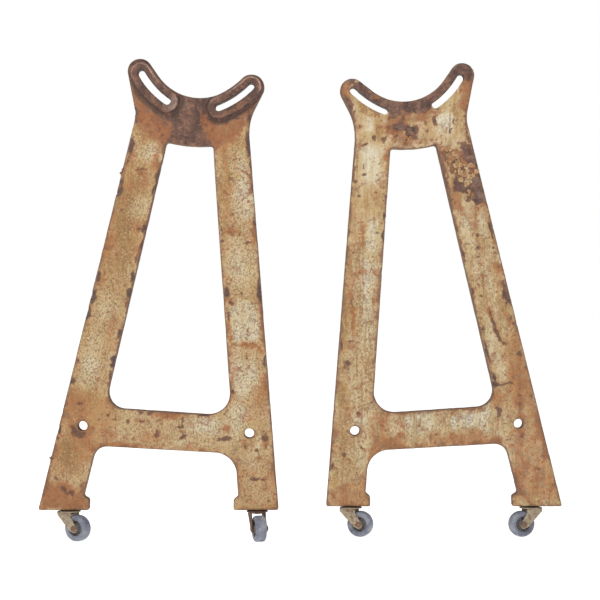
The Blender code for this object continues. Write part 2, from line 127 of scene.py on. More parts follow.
def rounded(corners, step=6.0):
    out = []
    n = len(corners)
    for i in range(n):
        p = Vector(corners[i][:2])
        r = corners[i][2]
        a = Vector(corners[i - 1][:2]) - p
        b = Vector(corners[(i + 1) % n][:2]) - p
        if r <= 0:
            out.append((p.x, p.y))
            continue
        a.normalize()
        b.normalize()
        half = math.acos(max(-1, min(1, a.dot(b)))) / 2
        run = r / math.tan(half)
        c = p + (a + b).normalized() * (r / math.sin(half))
        s, e = p + a * run - c, p + b * run - c
        sweep = math.atan2(s.cross(e), s.dot(e))
        k = max(2, math.ceil(abs(math.degrees(sweep)) / step))
        for j in range(k + 1):
            t = sweep * j / k
            out.append((c.x + s.x * math.cos(t) - s.y * math.sin(t), c.y + s.x * math.sin(t) + s.y * math.cos(t)))
    clean = []
    for p in out:
        if not clean or math.dist(p, clean[-1]) > 0.05:
            clean.append(p)
    if math.dist(clean[0], clean[-1]) < 0.05:
        clean.pop()
    return clean


def area(loop):
    return sum(a[0] * b[1] - b[0] * a[1] for a, b in zip(loop, loop[1:] + loop[:1])) / 2


def inset(loop, d):
    n = len(loop)
    out = []
    for i in range(n):
        p, q, r = Vector(loop[i - 1]), Vector(loop[i]), Vector(loop[(i + 1) % n])
        u, v = (q - p).normalized(), (r - q).normalized()
        m = Vector((-u.y, u.x)) + Vector((-v.y, v.x))
        m /= max(0.35, m.length_squared / 2)
        w = q + m * d
        out.append((w.x, w.y))
    return out


def ring_about(centre, radius, n):
    return [(centre[0] + radius * math.cos(2 * math.pi * i / n), centre[1] + radius * math.sin(2 * math.pi * i / n)) for i in range(n)]


def arc_band(slot, half, along=14, caps=16):
    centre, radius, e0, e1 = slot
    c = Vector(centre)
    a0 = math.atan2(e0[1] - c.y, e0[0] - c.x)
    a1 = math.atan2(e1[1] - c.y, e1[0] - c.x)
    if a0 > a1:
        a0, a1 = a1, a0

    def on(a, r):
        return (c.x + r * math.cos(a), c.y + r * math.sin(a))

    outer = [on(a0 + (a1 - a0) * i / along, radius + half) for i in range(along + 1)]
    inner = [on(a1 + (a0 - a1) * i / along, radius - half) for i in range(along + 1)]
    p1, p0 = on(a1, radius), on(a0, radius)
    cap1 = [(p1[0] + half * math.cos(a1 + math.pi * i / caps), p1[1] + half * math.sin(a1 + math.pi * i / caps)) for i in range(1, caps)]
    cap0 = [(p0[0] + half * math.cos(a0 + math.pi + math.pi * i / caps), p0[1] + half * math.sin(a0 + math.pi + math.pi * i / caps)) for i in range(1, caps)]
    return outer + cap1 + inner + cap0


def casting_outline():
    hl_out = tangent_edge(HORN_L, HORN_RAD, HORN_L_LEAN, -1)
    hr_out = tangent_edge(HORN_R, HORN_RAD, HORN_R_LEAN, +1)
    la, lb = cross_tangent(HORN_L, HORN_RAD, SADDLE, SADDLE_RAD, +1)
    ra, rb = cross_tangent(HORN_R, HORN_RAD, SADDLE, SADDLE_RAD, -1)
    up = lambda e: at_height(e, e[0][1] + 60)
    waist_l, waist_r = meet_xz(OUTER_L, hl_out), meet_xz(OUTER_R, hr_out)
    tip_l = meet_lines(hl_out[0], up(hl_out), la, lb)
    tip_r = meet_lines(hr_out[0], up(hr_out), ra, rb)
    dip = meet_lines(la, lb, ra, rb)
    return rounded([
        (*at_height(OUTER_L, FOOT_Z), 3.0),
        (TOE_L_X, FOOT_Z, 3.0),
        (TOE_L_X + 0.6, FOOT_Z + 17.5, 4.5),
        (*at_height(LOWER_L, FOOT_Z + TOE_H), 3.0),
        (*meet_bar(LOWER_L, BAR_LOW), R_BAR_LOW_L),
        (*meet_bar(LOWER_R, BAR_LOW), R_BAR_LOW_R),
        (*at_height(LOWER_R, FOOT_Z + TOE_H), 3.0),
        (TOE_R_X, FOOT_Z + 16.0, 4.5),
        (TOE_R_X, FOOT_Z, 3.0),
        (*at_height(OUTER_R, FOOT_Z), 3.0),
        (*waist_r, WAIST_R_RAD),
        (*tip_r, HORN_RAD),
        (*dip, SADDLE_RAD),
        (*tip_l, HORN_RAD),
        (*waist_l, WAIST_L_RAD),
    ])


def window_outline():
    (cx, cz), r = WINDOW_TOP

    def on_arc(edge):
        z = cz - r
        for _ in range(12):
            x = at_height(edge, z)[0]
            z = cz - math.sqrt(r * r - (x - cx) ** 2)
        return (x, z)

    tl, tr = on_arc(INNER_L), on_arc(INNER_R)
    bl, br = meet_bar(INNER_L, BAR_TOP), meet_bar(INNER_R, BAR_TOP)
    a0 = math.atan2(tr[1] - cz, tr[0] - cx)
    a1 = math.atan2(tl[1] - cz, tl[0] - cx)
    mids = [a0 + (a1 - a0) * f / 10 for f in range(1, 10)]
    arc = [(cx + r * math.cos(a), cz + r * math.sin(a), 0) for a in mids]
    return rounded([(*br, R_BAR_TOP_R), (*tr, R_TOP_CORNER), *arc, (*tl, R_TOP_CORNER), (*bl, R_BAR_TOP_L)])


# ------------------------------------------------------------------ meshes
def to_mesh(name, bm, smooth=None):
    bmesh.ops.recalc_face_normals(bm, faces=bm.faces)
    mesh = bpy.data.meshes.new(name)
    bm.to_mesh(mesh)
    bm.free()
    if smooth is not None:
        mesh.shade_smooth()
        mesh.set_sharp_from_angle(angle=math.radians(smooth))
    return mesh


def link(name, mesh):
    obj = bpy.data.objects.new(name, mesh)
    bpy.context.scene.collection.objects.link(obj)
    return obj


def stack_loops(bm, loops):
    rings = [[bm.verts.new(Vector(p) * MM) for p in loop] for loop in loops]
    for a, b in zip(rings, rings[1:]):
        n = len(a)
        for i in range(n):
            j = (i + 1) % n
            bm.faces.new((a[i], a[j], b[j], b[i]))
    bm.faces.new(list(reversed(rings[0])))
    bm.faces.new(rings[-1])


def plate(loop, y0, y1, r0=0.0, r1=0.0, steps=3):
    """Solid between y0 and y1 with the outline in x, z and its two rims rounded by r0 and r1 (negative flares out)."""
    if area(loop) < 0:
        loop = loop[::-1]
    levels = []

    def rim(y, r, way):
        a = abs(r)
        out = []
        for k in range(steps + 1):
            t = math.pi / 2 * k / steps
            out.append((math.copysign(a * (1 - math.sin(t)), r), y + way * a * (1 - math.cos(t))))
        return out

    levels += rim(y0, r0, 1) if r0 else [(0.0, y0)]
    levels += rim(y1, r1, -1)[::-1] if r1 else [(0.0, y1)]
    bm = bmesh.new()
    stack_loops(bm, [[(x, y, z) for x, z in (inset(loop, d) if d else loop)] for d, y in levels])
    return bm


def spun(profile, n, axis="Z", centre=(0, 0, 0), closed=True):
    """Solid of revolution. A closed profile makes a ring; an open one is capped at its two ends."""
    bm = bmesh.new()
    c = Vector(centre)
    rings = []
    for r, h in profile:
        ring = []
        for i in range(n):
            a = 2 * math.pi * i / n
            p = Vector((r * math.cos(a), r * math.sin(a), h)) if axis == "Z" else Vector((r * math.cos(a), h, r * math.sin(a)))
            ring.append(bm.verts.new((c + p) * MM))
        rings.append(ring)
    pairs = list(zip(rings, rings[1:])) + ([(rings[-1], rings[0])] if closed else [])
    for a, b in pairs:
        for i in range(n):
            j = (i + 1) % n
            bm.faces.new((a[i], a[j], b[j], b[i]))
    if not closed:
        bm.faces.new(list(reversed(rings[0])))
        bm.faces.new(rings[-1])
    return bm


def modified(obj, helpers=()):
    """The object's evaluated mesh, with its modifiers and helpers gone."""
    bpy.context.view_layer.update()
    mesh = bpy.data.meshes.new_from_object(obj.evaluated_get(bpy.context.evaluated_depsgraph_get()))
    obj.modifiers.clear()
    obj.data = mesh
    for h in helpers:
        bpy.data.objects.remove(h)
    return mesh


def solid(name, base, steps):
    """base bmesh combined with each (operation, bmesh) in turn."""
    obj = link(name, to_mesh(name, base))
    helpers = []
    for i, (operation, bm) in enumerate(steps):
        tool = link("%s_tool_%d" % (name, i), to_mesh("tool", bm))
        mod = obj.modifiers.new("b%d" % i, "BOOLEAN")
        mod.operation = operation
        mod.object = tool
        mod.solver = "EXACT"
        helpers.append(tool)
    modified(obj, helpers)
    return obj


# ------------------------------------------------------------------ noise on arrays
def _hash(ix, iy, iz, seed):
    h = (ix.astype(np.uint32) * np.uint32(374761393)) ^ (iy.astype(np.uint32) * np.uint32(668265263)) ^ (iz.astype(np.uint32) * np.uint32(2246822519))
    h = h + np.uint32((seed * 974711 + 1013904223) & 0xFFFFFFFF)
    h ^= h >> np.uint32(15)
    h *= np.uint32(2246822519)
    h ^= h >> np.uint32(13)
    h *= np.uint32(3266489917)
    h ^= h >> np.uint32(16)
    return h.astype(np.float64) / 4294967295.0


def value_noise(p, size, seed):
    """Smooth noise in 0..1 with features of `size` mm at points p (n, 3) in mm."""
    q = p / size + 1000.0
    i = np.floor(q).astype(np.int64)
    f = q - i
    f = f * f * f * (f * (f * 6 - 15) + 10)
    out = 0
    for dx in (0, 1):
        for dy in (0, 1):
            for dz in (0, 1):
                w = (f[:, 0] if dx else 1 - f[:, 0]) * (f[:, 1] if dy else 1 - f[:, 1]) * (f[:, 2] if dz else 1 - f[:, 2])
                out = out + w * _hash(i[:, 0] + dx, i[:, 1] + dy, i[:, 2] + dz, seed)
    return out


def fbm(p, size, seed, octaves=4, gain=0.55):
    total, amp, norm = 0, 1.0, 0
    for k in range(octaves):
        total = total + amp * value_noise(p, size / 2 ** k, seed + 17 * k)
        norm += amp
        amp *= gain
    return total / norm


def cells(p, size, seed):
    """Distance (mm) to the nearest of jittered points, one per cell, and that point's own random value."""
    q = p / size + 500.0
    i = np.floor(q).astype(np.int64)
    best = np.full(len(p), 9e9)
    own = np.zeros(len(p))
    for dx in (-1, 0, 1):
        for dy in (-1, 0, 1):
            for dz in (-1, 0, 1):
                c = i + np.array((dx, dy, dz))
                j = np.stack([_hash(c[:, 0], c[:, 1], c[:, 2], seed + k) for k in (1, 2, 3)], 1)
                d = np.linalg.norm(q - (c + j), axis=1)
                near = d < best
                best = np.where(near, d, best)
                own = np.where(near, _hash(c[:, 0], c[:, 1], c[:, 2], seed + 4), own)
    return best * size, own


def smoothstep(a, b, x):
    t = np.clip((x - a) / (b - a), 0, 1)
    return t * t * (3 - 2 * t)


def loop_distance(p, loop):
    """Distance from points p (n, 2) to a closed polyline."""
    a = np.array(loop)
    b = np.roll(a, -1, axis=0)
    best = np.full(len(p), 9e9)
    for s, e in zip(a, b):
        d = e - s
        t = np.clip(((p - s) @ d) / max(1e-12, d @ d), 0, 1)
        best = np.minimum(best, np.hypot(*(p - s - t[:, None] * d).T))
    return best


# ------------------------------------------------------------------ casting
OUTLINE, WINDOW = casting_outline(), window_outline()
VOXEL = 1.6


def casting_solid(side):
    half = PLATE_T / 2
    steps = [("DIFFERENCE", plate(WINDOW, -half - 0.01, half + 0.01, -2.0, -2.0))]
    for slot in (SLOT_L, SLOT_R):
        steps.append(("UNION", plate(arc_band(slot, PAD_HALF), -half - PAD_H, 0.0, 2.4, 0.0)))
    for slot in (SLOT_L, SLOT_R):
        steps.append(("DIFFERENCE", plate(arc_band(slot, SLOT_HALF - 0.2), -half - PAD_H - 5, half + 5)))
    for hole in HOLES:
        steps.append(("DIFFERENCE", plate(ring_about(hole, HOLE_RAD, 32), -half - 5, half + 5)))
    for x in STEM_X[side]:
        steps.append(("DIFFERENCE", spun([(BORE_R + 0.3, FOOT_Z - 5), (BORE_R + 0.3, BORE_TOP - 3), (0.6, BORE_TOP)], 16, centre=(x, 0, 0), closed=False)))
    for k, spec in enumerate(CRUMBS[side]):
        steps.append(("UNION", crumb(side, spec, k)))
    return solid(side + "_casting", plate(OUTLINE, -half, half, 2.2, 2.2), steps)


def crumb(side, spec, k):
    """A lumpy bead that stands off an edge."""
    u, v, heading, length, radius = spec
    x, z = front_grid(side)(u, v)
    a = math.radians(heading if side == "left" else 180 - heading)
    rng = np.random.default_rng(300 + k)
    bm = bmesh.new()
    bmesh.ops.create_icosphere(bm, subdivisions=2, radius=1.0)
    turn = Matrix.Rotation(-a, 3, "Y")
    for vert in bm.verts:
        q = vert.co * (0.9 + 0.25 * rng.random())
        q = turn @ Vector((q.x * length, q.y * radius * 1.8, q.z * radius))
        vert.co = (q + Vector((x, (-4.0 if k % 2 else -7.0) if side == "left" else 5.0, z))) * MM
    return bm


def grown(obj):
    """Even quads over the solid, lightly eased like cast edges."""
    m = obj.modifiers.new("even", "REMESH")
    m.mode = "VOXEL"
    m.voxel_size = VOXEL * MM
    s = obj.modifiers.new("ease", "SMOOTH")
    s.factor = 0.5
    s.iterations = 2
    modified(obj)
    me = obj.data
    n = len(me.vertices)
    co = np.empty(n * 3)
    me.vertices.foreach_get("co", co)
    no = np.empty(n * 3)
    me.vertex_normals.foreach_get("vector", no)
    return co.reshape(-1, 3) / MM, no.reshape(-1, 3)


def blob(x, z, patch):
    """Soft ellipse: patch is (x, z, half width, half height, tilt in degrees, strength)."""
    px, pz, rx, rz, tilt, strength = patch
    a = math.radians(tilt)
    u = (x - px) * math.cos(a) + (z - pz) * math.sin(a)
    v = -(x - px) * math.sin(a) + (z - pz) * math.cos(a)
    return strength * smoothstep(1.45, 0.45, np.hypot(u / rx, v / rz))


def path_distance(x, z, points):
    """Distance to an open polyline."""
    p = np.stack([x, z], 1)
    best = np.full(len(p), 9e9)
    for s, e in zip(points, points[1:]):
        s, e = np.array(s), np.array(e)
        d = e - s
        t = np.clip(((p - s) @ d) / max(1e-12, d @ d), 0, 1)
        best = np.minimum(best, np.hypot(*(p - s - t[:, None] * d).T))
    return best


def inside(x, z, points):
    """True where the points lie in the polygon."""
    hit = np.zeros(len(x), bool)
    for (ax, az), (bx, bz) in zip(points, points[1:] + points[:1]):
        if az == bz:
            continue
        cross = ((az > z) != (bz > z)) & (x < (bx - ax) * (z - az) / (bz - az) + ax)
        hit ^= cross
    return hit


def region(x, z, points, soft):
    """1 inside a polygon, falling to 0 over `soft` either side of its border."""
    d = path_distance(x, z, points + points[:1])
    return smoothstep(-soft, soft, np.where(inside(x, z, points), d, -d))


def arc_points(slot, k=16):
    c, r, e0, e1 = slot
    a0 = math.atan2(e0[1] - c[1], e0[0] - c[0])
    a1 = math.atan2(e1[1] - c[1], e1[0] - c[0])
    return [(c[0] + r * math.cos(a0 + (a1 - a0) * i / k), c[1] + r * math.sin(a0 + (a1 - a0) * i / k)) for i in range(k + 1)]


def front_grid(side):
    """Turns front-view grid points (600 across, 1.54 mm a step on the left leg) into casting x, z."""
    def left(u, v):
        return ((u - 299.5) / 0.65 + 214.7, (540 - v) / 0.65)

    def right(u, v):
        return (222.5 - (u - 299.5) / 0.6385, 369.8 - (v - 300.5) / 0.6385)

    return left if side == "left" else right


# Marks on the side that faces the camera at rest, in front-view grid units.
# blob: (u, v, half width, half height, tilt, strength); line: ([(u, v), ...], half width, strength);
# area: ([(u, v), ...], softness, strength).
MARKS = {
    "left": {
        "brown": {
            "area": [
                ([(124, 84), (133, 86), (137, 97), (150, 110), (166, 124), (173, 133), (168, 152), (161, 152), (156, 138), (144, 127), (132, 118), (126, 100)], 2.8, 0.9),
                ([(210, 112), (222, 118), (240, 113), (252, 103), (260, 102), (253, 118), (250, 128), (236, 136), (224, 144), (214, 150), (208, 132)], 2.4, 0.72),
                ([(126, 106), (134, 106), (140, 124), (132, 136), (128, 130)], 2.4, 0.35),
                ([(46, 478), (62, 476), (84, 486), (88, 508), (40, 508)], 3.0, 0.4),
            ],
            "blob": [(155, 134, 8, 8, 0, 0.4), (170, 127, 8, 9, 0, 0.9), (212, 142, 6, 9, 0, 0.8), (209, 128, 5, 10, 0, 0.5), (256, 112, 5, 7, 20, 0.6), (204, 122, 5, 9, 0, 0.5), (203, 112, 6, 7, 0, 0.8), (246, 108, 10, 3, -40, 0.5), (76, 402, 9, 8, 0, 0.4), (140, 418, 10, 6, 0, 0.35)],
            "line": [([(203, 116), (205, 126), (207, 140)], 2.0, 0.4), ([(133, 90), (141, 104), (152, 114), (164, 122)], 3.6, 0.9), ([(168, 122), (170, 134), (169, 146)], 3.0, 0.6)],
        },
        # painted highlight on the pads' ridge, strongest where these blobs lie
        "ridge_highlight": {
            "blob": [(146, 66, 9, 9, 0, 0.9), (153, 78, 5, 10, -30, 0.8), (250, 80, 12, 5, 0, 1.0), (262, 86, 5, 10, 0, 1.0), (176, 104, 8, 9, 0, 0.6), (133, 72, 4, 10, 0, 0.5), (214, 104, 5, 8, 0, 0.5), (222, 116, 10, 3, 0, 0.5), (236, 90, 10, 5, -30, 0.7), (165, 92, 6, 8, -40, 0.4)],
        },
        "bare": {
            "area": [
                ([(160, 92), (172, 84), (190, 90), (218, 90), (222, 104), (214, 121), (206, 124), (203, 133), (212, 150), (166, 150), (169, 134), (172, 127), (164, 118)], 3.4, 1.1),
                ([(127, 90), (137, 88), (138, 104), (150, 110), (165, 122), (168, 128), (160, 126), (146, 112), (135, 104)], 1.6, 0.45),
                ([(245, 112), (257, 100), (262, 90), (268, 86), (260, 104), (251, 119), (246, 118)], 1.2, 0.7),
            ],
            "blob": [(199, 139, 10, 5, 0, 0.5), (232, 119, 13, 2.2, -12, 0.8), (205, 118, 3.4, 8, 8, -0.7)],
        },
        "rust": {
            "area": [
                ([(199, 112), (206, 108), (210, 116), (214, 124), (216, 145), (208, 138), (199, 128)], 1.8, 1.1),
                ([(137, 94), (150, 108), (166, 124), (169, 136), (166, 150), (161, 152), (158, 138), (150, 124), (139, 116)], 3.0, 0.75),
                ([(213, 122), (236, 120), (248, 122), (244, 132), (234, 140), (226, 150), (215, 150)], 3.0, 0.7),
                ([(45, 482), (60, 481), (84, 490), (86, 508), (40, 508)], 3.0, 0.7),
                ([(64, 395), (90, 386), (112, 398), (116, 446), (96, 452), (80, 470), (72, 440), (66, 424)], 5.0, 0.55),
                ([(240, 470), (276, 462), (279, 510), (233, 510)], 5.0, 0.15),
            ],
            "blob": [
                (201, 118, 9, 13, 0, 0.5), (130, 158, 5, 9, 10, 0.5), (154, 160, 5, 12, 10, 0.6), (110, 243, 5, 13, 10, 0.6), (101, 282, 4, 10, 10, 0.55),
                (124, 203, 3, 6, 10, 0.45), (141, 170, 6, 2, 0, 0.8), (141, 172, 2, 4, 0, 0.7), (138, 185, 14, 5, 0, 0.3),
                (233, 232, 8, 5, 0, 0.75), (253, 236, 3, 12, 0, 0.7), (251, 189, 2.5, 6, 0, 0.7), (231, 301, 5, 3.5, 0, 0.9),
                (250, 346, 9, 4, 0, 0.55), (245, 356, 5, 5, 0, 0.45), (262, 322, 3, 16, -4, 0.6), (229, 325, 2.5, 14, -4, 0.5),
                (170, 416, 16, 4, 3, 0.8), (226, 427, 6, 4, 0, 0.7), (194, 425, 3.5, 2.5, 0, 0.7), (245, 446, 4, 6, 0, 0.7),
                (265, 440, 5, 8, 0, 0.7), (250, 419, 5, 6, 0, 0.5), (257, 457, 3, 3, 0, 0.5), (130, 445, 22, 3, 3, 0.6),
                (190, 447, 30, 2.4, 2, 0.5), (255, 404, 9, 14, 0, 0.3), (147, 436, 12, 5, 0, 0.4), (225, 165, 5, 20, 0, 0.35),
                (228, 205, 5, 30, 0, 0.25), (263, 385, 4, 10, 0, 0.5), (112, 330, 5, 20, 14, 0.4), (135, 245, 6, 20, 14, 0.3),
            ],
            "line": [([(226, 335), (232, 341), (240, 345), (252, 343), (263, 350)], 1.6, 0.8), ([(237, 168), (244, 171), (251, 177)], 1.2, 0.7)],
        },
        "pale": {
            "area": [
                ([(229, 302), (240, 300), (257, 302), (258, 318), (260, 336), (250, 340), (240, 341), (231, 330)], 2.5, 1.0),
                ([(236, 148), (246, 150), (250, 176), (252, 190), (253, 216), (245, 222), (236, 215), (238, 190)], 3.5, 0.7),
                ([(232, 360), (244, 356), (256, 366), (258, 384), (248, 396), (234, 392)], 4.0, 0.75),
            ],
            "blob": [
                (147, 152, 8, 9, 20, 0.8), (138, 205, 11, 12, 10, 0.7), (104, 304, 9, 18, 14, 0.5), (92, 350, 10, 22, 14, 0.6),
                (88, 375, 9, 16, 10, 0.6), (205, 424, 16, 10, 0, 0.7), (237, 420, 8, 18, 0, 0.8), (259, 440, 3, 8, 0, 0.8),
                (180, 440, 8, 4, 0, 0.5), (125, 428, 10, 8, 0, 0.25), (133, 262, 2, 14, 14, 0.5), (240, 272, 10, 18, 0, 0.5),
                (84, 462, 4, 8, 10, 0.3), (250, 456, 8, 10, 0, 0.3),
            ],
        },
        "dark": {
            "area": [
                ([(70, 425), (76, 424), (79, 428), (87, 431), (86, 436), (79, 438), (71, 432)], 1.3, 0.95),
                ([(45, 480), (49, 476), (49, 486), (46, 494), (43, 496)], 1.2, 0.6),
                ([(80, 484), (86, 478), (86, 492), (82, 496)], 1.5, 0.55),
            ],
            "blob": [
                (58, 478, 3.6, 1.8, 20, 0.8), (63.5, 488, 4, 2.6, 45, 0.95), (72, 492, 3, 3, 0, 0.85), (66, 493, 3, 2, 0, 0.6),
                (80, 403, 2.5, 2, 0, 0.9), (84, 400, 1.5, 2, 0, 0.5), (99, 419, 1.8, 1.5, 0, 0.9), (108, 414, 2, 1.5, 0, 0.9), (114, 419, 1.8, 1.5, 0, 0.7),
                (108, 407, 1.5, 1.5, 0, 0.6), (128, 420, 1.8, 2.6, 0, 0.9), (134, 438, 2, 3, 0, 0.7), (141, 412, 2.6, 2.2, 0, 0.9), (150, 412, 2.6, 2, 0, 0.9),
                (141, 420, 2.6, 1.6, 0, 0.9), (147, 420, 1.6, 1.4, 0, 0.6), (159, 420, 2.4, 1.4, 0, 0.8), (156, 433, 1.8, 5, 10, 0.9), (157, 441, 1.4, 3, 0, 0.6),
                (180, 426, 4, 1.8, 0, 0.9), (183, 421, 1.4, 6, 0, 0.85), (183, 436, 4, 1.8, -32, 1.0), (226, 438, 6.5, 2.4, -8, 1.0), (218, 439, 2, 1.6, 0, 0.6),
                (226, 411, 3, 1.2, -30, 0.8), (265, 437, 3.4, 3.4, 0, 0.9), (262, 430, 1.8, 2.6, 0, 0.6), (266, 445, 2, 3, 0, 0.6), (257, 449, 2.6, 1.7, 0, 0.95),
                # (250, 434) is a painted shadow in and below the tie-rod hole; the rest are stains and rust blots
                (250, 434, 4.2, 3.2, 0, 0.9), (245, 446, 2, 2.4, 0, 0.8), (240, 440, 2.4, 1.2, 0, 0.7), (246, 474, 1.6, 1.3, 0, 0.8), (254, 478, 5, 1.8, -6, 1.0),
                (262, 479, 3, 1.5, 0, 0.8), (268, 500, 1.6, 1.6, 0, 0.7), (255, 503, 1.2, 1.2, 0, 0.5), (59, 459, 1.5, 1.6, 0, 0.7), (61, 446, 1.2, 2, 0, 0.4),
                (231, 179, 4.5, 2, 15, 0.5), (234, 183, 2, 2.5, 0, 0.4), (231, 214, 3.4, 2.6, 30, 0.5), (234, 219, 1.6, 2.6, 0, 0.4),
                (247, 242, 4, 1.5, -8, 0.8), (241, 293, 1.6, 2, 0, 0.8), (230, 302, 3.2, 1.6, 0, 0.9), (233, 391, 2, 1.8, 0, 0.8), (246, 356, 1.2, 4, -30, 0.7),
                (139, 229, 2.8, 1.6, 0, 0.85), (141, 169, 6, 1.1, -4, 0.8), (122, 210, 1.4, 2, 0, 0.8), (111, 247, 4, 1.4, 0, 0.5), (127, 194, 1.2, 1.2, 0, 0.6),
                (146, 197, 1.4, 1.2, 0, 0.5), (114, 279, 1.4, 1, 0, 0.5), (93, 362, 1, 1.6, 0, 0.4), (126, 303, 2, 1.4, 0, 0.6),
                (160, 139, 1.8, 1.8, 0, 0.35), (165, 124, 5, 2.4, 30, 0.7), (171, 129, 3, 2, 0, 0.6), (158, 117, 4, 1.6, 40, 0.5), (253, 112, 3, 4, 20, 0.6), (201, 117, 1.2, 1.6, 0, 0.7), (143, 139, 1.4, 1.6, 0, 0.4), (155, 131, 2, 3, 0, 0.4),
            ],
            "line": [
                ([(201, 130), (200.5, 134), (203, 137), (206.5, 136), (207.5, 132)], 0.9, 0.7),
                ([(75, 440), (73, 460), (71, 480)], 1.5, 0.32), ([(241, 496), (249, 494)], 0.6, 0.6), ([(203, 413), (208, 414)], 1.2, 0.8),
                ([(152, 411.5), (178, 412.5)], 0.8, 0.7), ([(224, 285), (229, 284)], 0.8, 0.5), ([(238, 169), (250, 176)], 0.6, 0.6),
                ([(246, 102), (232, 112), (218, 118)], 1.6, 0.5), ([(150, 95), (160, 107), (170, 114)], 1.6, 0.5),
            ],
        },
        "chip": {
            "blob": [
                (131.5, 146, 2.6, 9, 12, 1.0), (128, 160, 1.8, 5, 12, 0.7), (122, 181, 2.2, 4.5, 12, 0.9), (119.8, 192, 3.2, 6, 14, 1.0), (115.5, 203, 1.6, 4, 14, 0.5),
                (98.5, 277, 2.4, 7, 14, 0.9), (93.4, 297, 2.8, 8, 14, 1.0), (88, 313, 2.6, 6.5, 6, 1.0), (73.4, 380, 2.8, 2.8, 0, 1.0), (78, 360, 2, 1.6, 0, 0.7), (69, 393, 1.4, 4, 12, 0.6),
                (64.5, 406, 1.6, 2, 0, 0.8), (63, 413, 1.4, 2, 0, 0.8), (59.4, 428, 1.8, 4, 12, 1.0), (57.5, 437, 1.4, 2.6, 12, 0.7),
                (158, 176, 2.6, 10, 14, 0.8), (154, 190, 1.8, 6, 14, 0.8), (144.5, 228, 2.6, 5, 10, 1.0), (142, 244, 1.8, 6, 14, 0.9), (137, 257, 1.6, 6, 14, 0.6),
                (133, 276, 2.0, 6, 14, 0.9), (130, 292, 3.0, 5, 14, 1.0), (126, 304, 1.2, 3, 14, 0.6), (120, 333, 1.8, 6, 12, 0.8), (123, 322, 1.4, 4, 12, 0.6), (114, 359, 3.4, 4, 10, 1.0), (112.5, 364, 3.0, 3, 10, 0.9),
                (110.5, 375, 1.6, 6, 8, 0.7), (248.4, 144, 2.6, 15, -4, 1.0), (250.5, 166, 1.4, 6, -4, 0.6), (252, 188, 1.6, 5, -4, 0.6), (254, 222, 1.8, 4, -4, 0.8), (259.6, 292, 3.0, 11, -5, 1.0),
                (265, 361, 1.8, 7, -5, 0.8), (226.5, 292, 2.6, 6, -6, 1.0), (229, 316, 1.4, 4.5, -4, 0.8), (221.5, 241, 2, 1.6, 0, 0.7), (221, 232, 1.2, 6, -4, 0.5),
                (232.6, 391, 1.8, 1.8, 0, 0.8), (218.5, 215, 1.0, 14, -4, 0.5), (271, 420, 1.2, 12, -4, 0.5), (135.5, 112, 2, 6, -8, 0.8), (136.5, 121, 1.6, 3, 0, 0.6), (249, 118, 3, 5, 30, 0.8),
                (121.8, 168.8, 3.0, 1.6, -12, 1.1), (120.6, 172.3, 3.0, 1.6, 10, 1.1), (51.5, 457.2, 2.4, 1.6, 0, 1.0), (182, 410.5, 14, 1.0, 3, 0.5), (204, 413.5, 6, 1.4, 0, 0.8), (147, 409.5, 12, 0.9, 3, 0.5),
            ],
        },
        "shine": {
            "area": [
                ([(163, 104), (167, 100), (175, 97), (178, 100), (176, 108), (170, 112), (165, 110)], 1.4, 0.8),
            ],
            "line": [([(179, 98), (179, 130)], 1.2, 0.35), ([(186, 100), (184, 138)], 1.0, 0.3), ([(192, 104), (192, 120)], 0.8, 0.3)],
        },
        "craze": {
            "blob": [(145, 154, 14, 12, 0, 0.5), (242, 160, 12, 20, 0, 0.4), (243, 190, 14, 44, 0, 0.6), (240, 262, 14, 30, 0, 0.3), (100, 320, 18, 50, 14, 0.3), (205, 428, 30, 12, 0, 0.4), (235, 420, 12, 24, 0, 0.4)],
        },
        "ochre": {
            "blob": [(148, 120, 10, 18, 0, 0.6), (122, 236, 20, 60, 14, 0.8), (136, 172, 15, 26, 12, 0.5), (92, 350, 18, 50, 14, 0.35), (75, 440, 22, 34, 14, 0.4), (140, 432, 30, 14, 0, 0.35), (146, 130, 14, 16, 0, 0.5), (240, 150, 12, 18, 0, 0.3), (224, 190, 6, 46, 0, 0.5), (222, 250, 4, 30, 0, 0.4), (258, 470, 18, 26, 0, 0.2), (60, 455, 16, 26, 14, 0.5), (80, 400, 20, 16, 0, 0.4), (261, 395, 6, 20, 0, 0.6)],
        },
    },
    "right": {
        "brown": {
            "area": [
                ([(336, 84), (346, 76), (356, 84), (351, 91), (358, 104), (350, 112), (342, 106)], 2.0, 0.45),
                ([(380, 117), (398, 115), (424, 112), (440, 108), (438, 115), (420, 121), (406, 124), (398, 138), (387, 134)], 2.4, 0.66),
                ([(461, 74), (476, 74), (472, 100), (468, 114), (457, 108), (460, 92)], 2.6, 0.66),
                ([(438, 145), (454, 148), (466, 158), (478, 168), (479, 186), (465, 190), (450, 174)], 2.0, 1.0),
                ([(464, 204), (480, 206), (484, 216), (470, 218), (462, 212)], 2.0, 0.5),
                ([(514, 326), (526, 350), (548, 420), (556, 470), (536, 440), (522, 400), (510, 356)], 4.0, 0.5),
                ([(328, 492), (370, 492), (372, 508), (328, 510)], 3.0, 0.25),
                ([(500, 405), (520, 400), (528, 440), (506, 444)], 3.0, 0.3),
            ],
            "blob": [(388, 134, 5, 6, 0, 0.35), (405, 131, 13, 9, 0, 0.42), (412, 144, 8, 3, 0, 0.45), (470, 92, 4, 16, 0, 0.4), (468, 112, 3, 10, 0, 0.5), (470, 132, 3, 12, -8, 0.4), (377, 97, 5, 4, 0, 0.5), (356, 82, 5, 3, 0, 0.5), (474, 152, 5, 10, -14, 0.5)],
        },
        "bare": {
            "area": [
                ([(347, 76), (358, 72), (370, 80), (384, 90), (400, 94), (420, 94), (438, 86), (448, 74), (456, 60), (474, 58), (475, 74), (469, 86), (463, 78), (455, 88), (447, 97), (432, 110), (424, 113), (408, 114), (398, 117), (390, 118), (386, 112), (376, 105), (364, 99), (352, 86)], 2.4, 1.1),
                ([(335, 93), (344, 95), (351, 106), (356, 120), (352, 130), (346, 120), (340, 104)], 1.4, 0.9),
